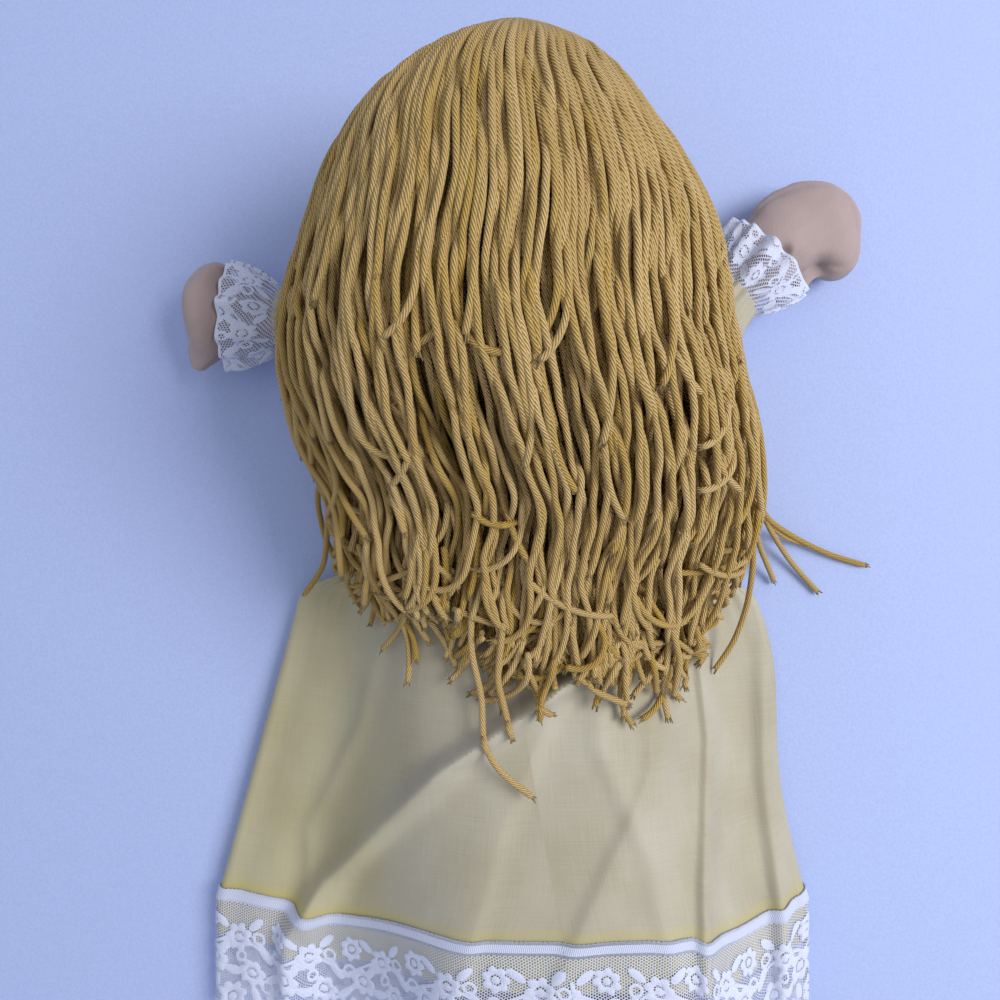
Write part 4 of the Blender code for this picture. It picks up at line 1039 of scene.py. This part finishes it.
def motif_marks(u, v):
    """How far inside a solid motif each place of the lace is: above a half inside, below it in the net.

    A blossom is a disc with seven petals and an open ring round its middle, a leaf an ellipse,
    and a ring the space between two circles.
    """
    depth = np.full(np.broadcast(u, v).shape, -1.0)
    for kind, place, down, size, turn in LACE_MOTIFS:
        across = (u - place + LACE_REPEAT / 2) % LACE_REPEAT - LACE_REPEAT / 2
        along = v - down
        away = np.hypot(across, along)
        if kind == "blossom":
            petals = np.abs(np.cos(3.5 * (np.arctan2(along, across) + turn)))
            ring = np.abs(away - 0.34 * size) - 0.0004
            inside = np.minimum(size * (0.70 + 0.30 * petals) - away, ring)
        elif kind == "leaf":
            long = across * math.cos(turn) + along * math.sin(turn)
            wide = along * math.cos(turn) - across * math.sin(turn)
            inside = (1 - (long / size) ** 2 - (wide / (0.42 * size)) ** 2) * 0.25 * size
        else:
            inside = 0.0006 - np.abs(away - size)
        depth = np.maximum(depth, inside)
    stem_middle = STEM[1] + STEM[2] * np.sin(u * 2 * math.pi / LACE_REPEAT + 1.0)
    stem = STEM[0] - np.abs(v - stem_middle)
    return np.clip(np.maximum(depth, stem) / MOTIF_EDGE + 0.5, 0, 1)


# Settings


class DollSizes(bpy.types.PropertyGroup):
    """Sizes that a user would change."""

    yarn_radius: FloatProperty(name="Yarn radius", description="Half the thickness of one strand",
                               default=0.00112, unit="LENGTH")
    strands: IntProperty(name="Strands in a layer", description="Strands side by side in one layer",
                         default=92)
    tangles: IntProperty(name="Tangled strands", description="Short bent strands near the lower edge",
                         default=150)
    ruffle: FloatProperty(name="Ruffle depth", description="How deep the lace cuffs are gathered",
                          default=0.0017, unit="LENGTH")
    floor: FloatProperty(name="Floor size", description="Side of the floor's square",
                         default=4.0, unit="LENGTH")


def colour_setting(name, description, text):
    """A colour that a user would change, with its usual sRGB hex value."""
    return FloatVectorProperty(name=name, description=description, default=linear(text),
                               subtype="COLOR", size=3, min=0.0, max=1.0)


class DollColours(bpy.types.PropertyGroup):
    """Colours that a user would change."""

    # The darker yarn colour is painted shade in the grooves and deep layers, and darker yarn at random
    yarn_dark_and_shade: colour_setting("Yarn grooves", "Yarn between its plies", "b8922c")
    yarn_light: colour_setting("Yarn", "Yarn on its plies", "e4c385")
    skin: colour_setting("Cotton", "Dyed cotton of head, hands and legs", "b4a09e")
    dress: colour_setting("Dress", "Voile in full light", "dcd9ca")
    dress_shade: colour_setting("Dress streaks", "Darker threads of the voile", "a39670")
    dress_edge: colour_setting("Dress hem", "Voile where it is doubled", "d0c47c")
    lace: colour_setting("Lace", "Lace and hem band", "e0e7ff")
    eyes: colour_setting("Eyes", "Thread of the eyes", "2a1c18")
    mouth: colour_setting("Mouth", "Thread of the mouth", "983238")
    floor: colour_setting("Floor", "Sheet under the doll", "b8c8f6")
    lamp: colour_setting("Light", "The large soft light", "fffdfb")
    sky: colour_setting("Sky", "The even light from all round", "e6ebf8")


# Operators


class DOLL_OT_stage(bpy.types.Operator):
    """Makes the floor, the camera above the doll and the soft lights"""

    bl_idname = "doll.stage"
    bl_label = "Stage"

    def execute(self, context):
        half = context.scene.doll_sizes.floor / 2
        line = np.linspace(-half, half, 9)
        x, y = np.meshgrid(line, line)
        floor = add_surface("floor", np.stack([x, y, np.full_like(x, FLOOR_HEIGHT)], -1))
        floor.data.materials.append(floor_material(context.scene.doll_colours))
        camera = bpy.data.cameras.new("camera")
        camera.lens = LENS
        camera.sensor_width = 36.0
        camera.clip_start = 0.01
        seen = add_object("camera", camera)
        seen.location = CAMERA_PLACE
        context.scene.camera = seen
        self.add_lights(context)
        return {"FINISHED"}

    def add_lights(self, context):
        """One large soft light from the doll's right and above, and an even pale sky."""
        colours = context.scene.doll_colours
        lamp = bpy.data.lights.new("window", "AREA")
        lamp.size = LAMP_SIDE
        lamp.energy = LAMP_POWER
        lamp.color = colours.lamp
        placed = add_object("window", lamp)
        placed.location = LAMP_PLACE
        placed.rotation_euler = Vector(LAMP_PLACE).to_track_quat("Z", "Y").to_euler()
        world = bpy.data.worlds.new("sky")
        world.use_nodes = True
        sky = world.node_tree.nodes["Background"]
        set_inputs(world.node_tree, sky, {"Color": shade(colours.sky), "Strength": SKY_STRENGTH})
        context.scene.world = world
        context.scene.view_settings.view_transform = "Standard"


class DOLL_OT_body(bpy.types.Operator):
    """Makes the stuffed cotton torso, neck, head, arms and legs"""

    bl_idname = "doll.body"
    bl_label = "Body"

    def execute(self, context):
        skin = skin_material(context.scene.doll_colours)
        nodes = ("torso", "neck", "head", "arm_left", "arm_right", "leg_left", "leg_right")
        pieces = [even_skin(node, "stuffed_" + node, ARM_VOXEL if "arm" in node else BODY_VOXEL)
                  for node in nodes]
        push_filling(pieces)
        for seed, (node, piece) in enumerate(zip(nodes, pieces)):
            fine = 1 if node in ("head", "torso") else 2
            settle(piece, ("SUBSURF", {"levels": fine, "render_levels": fine}))
            add_lumps(piece, LUMPS, seed)
            # The seam's groove gets painted shade, weaker on the arms
            crease_shade = sew_seam(piece, node) * (0.15 if "arm" in node else 0.5)
            if node.startswith("arm"):
                crease_shade = np.maximum(crease_shade, shape_hand(piece, node[4:]))
            mark(piece.data, "crease_shade", crease_shade)
            paint(piece, skin)
            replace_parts(piece, node)
            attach(piece, "torso" if node == "neck" else node)
        return {"FINISHED"}


class DOLL_OT_face(bpy.types.Operator):
    """Makes the eyes and mouth in satin stitch"""

    bl_idname = "doll.face"
    bl_label = "Face"

    def execute(self, context):
        colours = context.scene.doll_colours
        eye = thread_material("eye_stitches", colours.eyes)
        mouth = thread_material("mouth_stitches", colours.mouth)
        for node, material, slot in (("eye_left", eye, "eye_thread"), ("eye_right", eye, "eye_thread"),
                                     ("mouth", mouth, "mouth_thread")):
            piece = even_skin(node, "stitched_" + node, 0.0005)
            settle(piece, ("SUBSURF", {"levels": 1, "render_levels": 1}))
            across = points_of(piece)[:, 0]
            push_out(piece, np.abs(np.sin(across * math.pi / STITCH_WIDTH)) * STITCH_HEIGHT)
            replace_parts(paint(piece, material), node)
            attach(piece, "head")
        return {"FINISHED"}


class DOLL_OT_hair(bpy.types.Operator):
    """Makes the yarn hair in layers, with shorter strands on top and loose ones below"""

    bl_idname = "doll.hair"
    bl_label = "Hair"

    def execute(self, context):
        sizes = context.scene.doll_sizes
        yarn = yarn_material(context.scene.doll_colours)
        cap = even_skin("hair_cap", "yarn_cap", 0.0016)
        points = points_of(cap)
        round_head = np.arctan2(points[:, 0] - HEAD_MIDDLE[0], points[:, 2] - HEAD_MIDDLE[2])
        rib_height_and_shade = np.abs(np.sin(round_head * CAP_RIBS))
        push_out(cap, rib_height_and_shade * RIB_HEIGHT)
        # The cap's tone is painted lighter on the ribs' crests and darker between them, as shade
        mark(cap.data, "tone_and_shade", 0.5 + 0.6 * rib_height_and_shade)
        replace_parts(paint(cap, yarn), "hair_cap")
        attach(cap, "head")
        pieces = self.loose_pieces(sizes)
        for index, (depth, share, sides, steps, whole, shorter) in enumerate(LAYERS):
            dice = np.random.default_rng(10 + index)
            count = int(sizes.strands * share)
            lines, tones_and_shade = self.layer(depth, count, steps, whole, shorter, dice)
            for part, rows in enumerate(np.array_split(np.arange(len(lines)), 2)):
                name = f"hair_layer_{index + 1}_{'left' if part == 0 else 'right'}"
                radius = sizes.yarn_radius * (1.2 if depth < 0.5 else 1.0)
                pieces.append(add_strands(name, lines[rows], radius, tones_and_shade[rows], sides))
            if index < 2:
                pieces.append(self.fray(f"hair_fray_{index + 1}", lines, dice))
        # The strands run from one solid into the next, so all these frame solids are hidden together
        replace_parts(pieces[-1], "hair_back", "hair_fringe", "hair_fall_left", "hair_fall_middle",
                    "hair_fall_right")
        for piece in pieces:
            paint(piece, yarn)
            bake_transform(piece)
        return {"FINISHED"}

    def fray(self, name, lines, dice):
        """The frayed ends of some strands, in one mesh."""
        frayed = frayed_ends(lines, dice)
        return add_strands(name, frayed, FRAY_RADIUS, 0.6 + 0.4 * dice.random(len(frayed)), 4, 0.02)

    def loose_pieces(self, sizes):
        """The strands that lie apart, and the short bent ones near the lower edge, with their ends."""
        dice = np.random.default_rng(50)
        loose = np.array([even_steps(rounded(even_steps(np.array(points), 60), 30), 110)
                          for points in LOOSE_STRANDS])
        x, y = loose[..., 0], loose[..., 1]
        on_skirt = np.abs(x) < skirt_half_width(y, np.sign(x)) - 0.002
        resting = np.where(on_skirt, skirt_top(x, y) + 0.0016, 0)
        loose[..., 2] = np.maximum(loose[..., 2], resting)
        tangle = np.array([tangle_line(dice) for _ in range(sizes.tangles)])
        return [
            add_strands("hair_loose", loose, sizes.yarn_radius, dice.random(len(loose))),
            add_strands("hair_tangle", tangle, sizes.yarn_radius, dice.random(len(tangle)), 6),
            self.fray("hair_fray_loose", [*loose, *tangle], dice),
        ]

    def layer(self, depth, count, steps, whole, shorter, dice):
        """Lines of one layer of strands, in clumps of a few that sway together."""
        lines, tones_and_shade = [], []
        places = np.clip(np.linspace(-1, 1, count) + dice.normal(size=count) * 0.6 / count, -1, 1)
        left, right = hair_edges(SPREAD_Y)
        clump, tone_and_shade, left_over = None, 0.0, 0
        for index, across in enumerate(places):
            if left_over == 0:
                left_over = int(dice.integers(3, 8))
                middle = places[min(index + left_over // 2, count - 1)]
                clump = (dice.uniform(0, 6.28), dice.uniform(0, 6.28), middle, 0.035 * dice.normal())
                tone_and_shade = dice.normal()
            left_over -= 1
            x = (left + right) / 2 + across * (right - left) / 2
            end = hair_end(x) + abs(dice.normal()) * 0.009
            if dice.random() > whole:
                end += dice.uniform(0.010, shorter)
            lines.append(even_steps(strand_line(across, depth, end, dice, clump), steps))
            # A strand's tone is partly random and partly painted shade: the deeper its layer, the darker it
            # is
            tones_and_shade.append(np.clip(0.15 + 0.45 * depth + 0.16 * tone_and_shade + 0.18 * dice.normal(), 0, 1))
        return np.array(lines), np.array(tones_and_shade)


class DOLL_OT_bodice(bpy.types.Operator):
    """Makes the voile bodice, waistband and sleeves"""

    bl_idname = "doll.bodice"
    bl_label = "Bodice"

    def execute(self, context):
        voile = voile_material(context.scene.doll_colours)
        band = self.bodice_part("waistband", "voile_waistband", voile)
        for node, name in (("bodice_front", "voile_front"), ("bodice_back_left", "voile_back_left"),
                           ("bodice_back_right", "voile_back_right")):
            piece = self.bodice_part(node, name, voile)
        for side in SIDES:
            piece = self.sleeve(side)
            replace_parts(paint(piece, voile), "sleeve_" + side)
            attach(piece, "arm_" + side)
        return {"FINISHED"}

    def torso_rings(self, y, angles, ease):
        """Points round the torso at places along it, a little outside its skin."""
        along = (TORSO_TOP_Y - y) / TORSO_LENGTH
        wide = curve(TORSO_SHARES, along, 1) * TORSO_HALF_WIDTH + ease
        deep = curve(TORSO_SHARES, along, 2) * TORSO_HALF_DEPTH + ease
        x = wide[:, None] * np.cos(angles)
        z = TORSO_MIDDLE + deep[:, None] * np.sin(angles)
        return np.stack([x, np.broadcast_to(y[:, None], x.shape), np.maximum(z, 0.0008)], -1)

    def bodice_part(self, node, name, voile):
        """One panel of the bodice, from the neckline to the waist, or the band round the waist."""
        spans = {"bodice_front": (205, 335), "bodice_back_left": (89.2, 200),
                 "bodice_back_right": (-20, 90.8), "waistband": (0, 360)}
        low, high = spans[node]
        band = node == "waistband"
        y = np.linspace(*WAISTBAND_Y, 7) if band else np.linspace(NECKLINE_Y, WAIST_Y, 14)
        angles = np.radians(np.linspace(low, high, 90 if band else 40, endpoint=not band))
        grid = self.torso_rings(y, angles, WAISTBAND_EASE if band else BODICE_EASE)
        piece = cloth_wall(add_surface(name, grid, ring=band), VOILE_WALL)
        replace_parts(paint(piece, voile), node)
        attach(piece, "torso")
        return piece

    def sleeve(self, side):
        """A loose tube of voile, gathered at the armhole and the wrist.

        Above the armhole it closes over the arm's round top, in rings of a ball's radius.
        """
        along = np.linspace(0.0, SLEEVE_END, 66)
        angles = np.linspace(0, 2 * math.pi, 120, endpoint=False)
        centre, heading = arm_line(side, along)
        ends = 1 - smooth((along - 0.058) / 0.16) * smooth((SLEEVE_END - along) / 0.14)
        puff = SLEEVE_PUFF * (1 - ends) + SLEEVE_EASE
        width = ARM_RADIUS * (1.02 - 0.14 * smooth((along - 0.3) / 0.3)) + puff
        depth = ARM_RADIUS * (1.02 - 0.18 * smooth((along - 0.3) / 0.3)) + puff
        turn = np.radians(np.linspace(9, 81, 9))
        aim = np.array([math.cos(heading[0]), math.sin(heading[0]), 0.0])
        centre = np.concatenate([centre[0] - aim * width[0] * np.cos(turn)[:, None], centre])
        heading = np.concatenate([np.full(9, heading[0]), heading])
        width = np.concatenate([width[0] * np.sin(turn), width])
        depth = np.concatenate([depth[0] * np.sin(turn), depth])
        pleats = np.concatenate([np.sin(turn), 0.25 + 0.75 * ends])
        grid = ball_ring(centre, heading, width, depth, angles)
        wave = np.sin(angles * 17 + 1.3 * np.sin(angles * 3)) * pleats[:, None]
        grid = grid + unit(grid - centre[:, None, :]) * wave[..., None] * PLEAT_DEPTH
        grid[..., 2] = np.maximum(grid[..., 2], 0.0006)
        piece = add_surface("voile_sleeve_" + side, grid, ring=True, closed=True, flip=side == "left")
        return cloth_wall(piece, SLEEVE_WALL)


class DOLL_OT_skirt(bpy.types.Operator):
    """Makes the two halves of the gathered voile skirt, each with its white hem band"""

    bl_idname = "doll.skirt"
    bl_label = "Skirt"

    def execute(self, context):
        colours = context.scene.doll_colours
        voile, edging = voile_material(colours), band_material(colours)
        for side in SIDES:
            band = self.hem_band(side, edging)
            y = np.concatenate([np.linspace(SKIRT_START_Y, GATHERS_END_Y, 38)[:-1],
                                np.linspace(GATHERS_END_Y, SKIRT_END_Y, 118)])
            grid = skirt_grid(side, y)
            doubled = 0.42 * smooth((BAND_Y + 0.0060 - y) / 0.0035) + 0.48 * smooth((BAND_Y - y) / 0.001)
            doubled = doubled[:, None] + 0.3 * smooth((-0.030 - grid[..., 0]) / 0.03)
            piece = add_surface("voile_skirt_" + side, grid, flip=side == "left",
                                marks={"doubled": doubled})
            cloth_wall(piece, VOILE_WALL)
            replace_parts(paint(piece, voile), "skirt_" + side)
            hang(piece)
        return {"FINISHED"}

    def hem_band(self, side, edging):
        """A narrow solid band with a toothed upper edge, sewn on the skirt."""
        y = np.linspace(BAND_Y, BAND_Y - BAND_WIDTH, 7)
        grid = skirt_grid(side, y, lift=0.0009, columns=190)
        teeth = TOOTH_HEIGHT * np.abs(np.sin(run_along(grid[0]) * math.pi / TOOTH_WIDTH))
        grid[0, :, 1] += teeth
        grid[-1, :, 1] -= teeth
        piece = add_surface("edging_" + side, grid, flip=side == "left")
        cloth_wall(piece, VOILE_WALL)
        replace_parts(paint(piece, edging), "hem_band_" + side)
        return hang(piece)


class DOLL_OT_lace(bpy.types.Operator):
    """Makes the net lace below the hem band and the gathered lace cuffs"""

    bl_idname = "doll.lace"
    bl_label = "Lace"

    def execute(self, context):
        lace = lace_material(context.scene.doll_colours)
        for side in SIDES:
            piece = self.hem_lace(side)
            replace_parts(paint(piece, lace), "hem_lace_" + side)
            hang(piece)
            piece = self.cuff(side, context.scene.doll_sizes.ruffle)
            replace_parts(paint(piece, lace), "cuff_lace_" + side)
            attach(piece, "arm_" + side)
        return {"FINISHED"}

    def hem_lace(self, side):
        """Net with motifs, hung from the band past the skirt's edge, with a scalloped lower edge."""
        y = np.linspace(BAND_Y - BAND_WIDTH, LACE_END_Y, 110)
        grid = skirt_grid(side, y, lift=0.0008, columns=190)
        run = run_along(grid[30])
        down = (BAND_Y - BAND_WIDTH - y)[:, None]
        scallop = np.cos(run * 2 * math.pi / (LACE_REPEAT / 2))
        edge = SCALLOP[0] + SCALLOP[1] * scallop
        border = np.clip((down - edge) / MOTIF_EDGE + 0.5, 0, 1)
        solid = np.maximum(motif_marks(run, down), border)
        grid[..., 1] -= smooth(down / 0.044) * 0.0014 * scallop
        grid[..., 2] += solid * 0.00025
        return add_surface("net_hem_" + side, grid, flip=side == "left", marks={"motif": solid})

    def cuff(self, side, ruffle):
        """A frill of lace round the wrist: a flaring tube whose edge waves in and out unevenly."""
        reach = np.linspace(0, 1, 54)
        along = SLEEVE_END - 0.01 + reach * CUFF_LENGTH / ARM_LENGTH
        centre, heading = arm_line(side, along)
        angles = np.linspace(0, 2 * math.pi, 420, endpoint=False)
        flare = np.interp(reach, (0, 0.35, 0.7, 1), (0, 0.58, 0.9, 1.0))
        width = CUFF_WIDTHS[0] + (CUFF_WIDTHS[1] - CUFF_WIDTHS[0]) * flare
        depth = CUFF_DEPTHS[0] + (CUFF_DEPTHS[1] - CUFF_DEPTHS[0]) * flare
        centre[:, 2] = np.maximum(centre[:, 2], depth + 0.0006)
        grid = ball_ring(centre, heading, width, depth, angles)
        turns = angles * 13 + 1.6 * np.sin(angles * 2 + SIDES[side]) + 0.9 * np.sin(angles * 5)
        wave = np.sin(turns + 0.8 * reach[:, None] * np.sin(angles * 3))
        wave = wave * (0.8 + 0.4 * np.sin(angles * 4 + 1)) * (0.25 + 0.75 * flare)[:, None]
        grid = grid + unit(grid - centre[:, None, :]) * wave[..., None] * ruffle
        grid[..., 2] = np.maximum(grid[..., 2], 0.0005)
        down = (reach * CUFF_LENGTH)[:, None]
        border = np.clip((down - 0.0205) / MOTIF_EDGE + 0.5, 0, 1)
        solid = np.maximum(motif_marks(angles * 0.0271, down + 0.002), border)
        return add_surface("net_cuff_" + side, grid, ring=True, flip=side == "left",
                           marks={"motif": solid})


class DOLL_PT_panel(bpy.types.Panel):
    """Lists the doll's operators and settings"""

    bl_idname = "DOLL_PT_panel"
    bl_label = "Rag Doll"
    bl_space_type = "VIEW_3D"
    bl_region_type = "UI"
    bl_category = "Rag Doll"

    def draw(self, context):
        for group in (context.scene.doll_sizes, context.scene.doll_colours):
            for key in group.__annotations__:
                self.layout.prop(group, key)
        for operator in OPERATORS:
            self.layout.operator(operator.bl_idname)


OPERATORS = (DOLL_OT_stage, DOLL_OT_body, DOLL_OT_face, DOLL_OT_bodice, DOLL_OT_skirt, DOLL_OT_lace,
             DOLL_OT_hair)
CLASSES = (DollSizes, DollColours, *OPERATORS, DOLL_PT_panel)


def register():
    """Makes the add-on's classes and settings known to Blender."""
    for made in CLASSES:
        bpy.utils.register_class(made)
    bpy.types.Scene.doll_sizes = PointerProperty(type=DollSizes)
    bpy.types.Scene.doll_colours = PointerProperty(type=DollColours)


def unregister():
    """Takes the add-on's classes and settings out of Blender again."""
    del bpy.types.Scene.doll_sizes
    del bpy.types.Scene.doll_colours
    for made in reversed(CLASSES):
        bpy.utils.unregister_class(made)


def main():
    """Makes every piece in order."""
    register()
    bpy.ops.doll.stage()
    bpy.ops.doll.body()
    bpy.ops.doll.face()
    bpy.ops.doll.bodice()
    bpy.ops.doll.skirt()
    bpy.ops.doll.lace()
    bpy.ops.doll.hair()


if __name__ == "__main__":
    main()
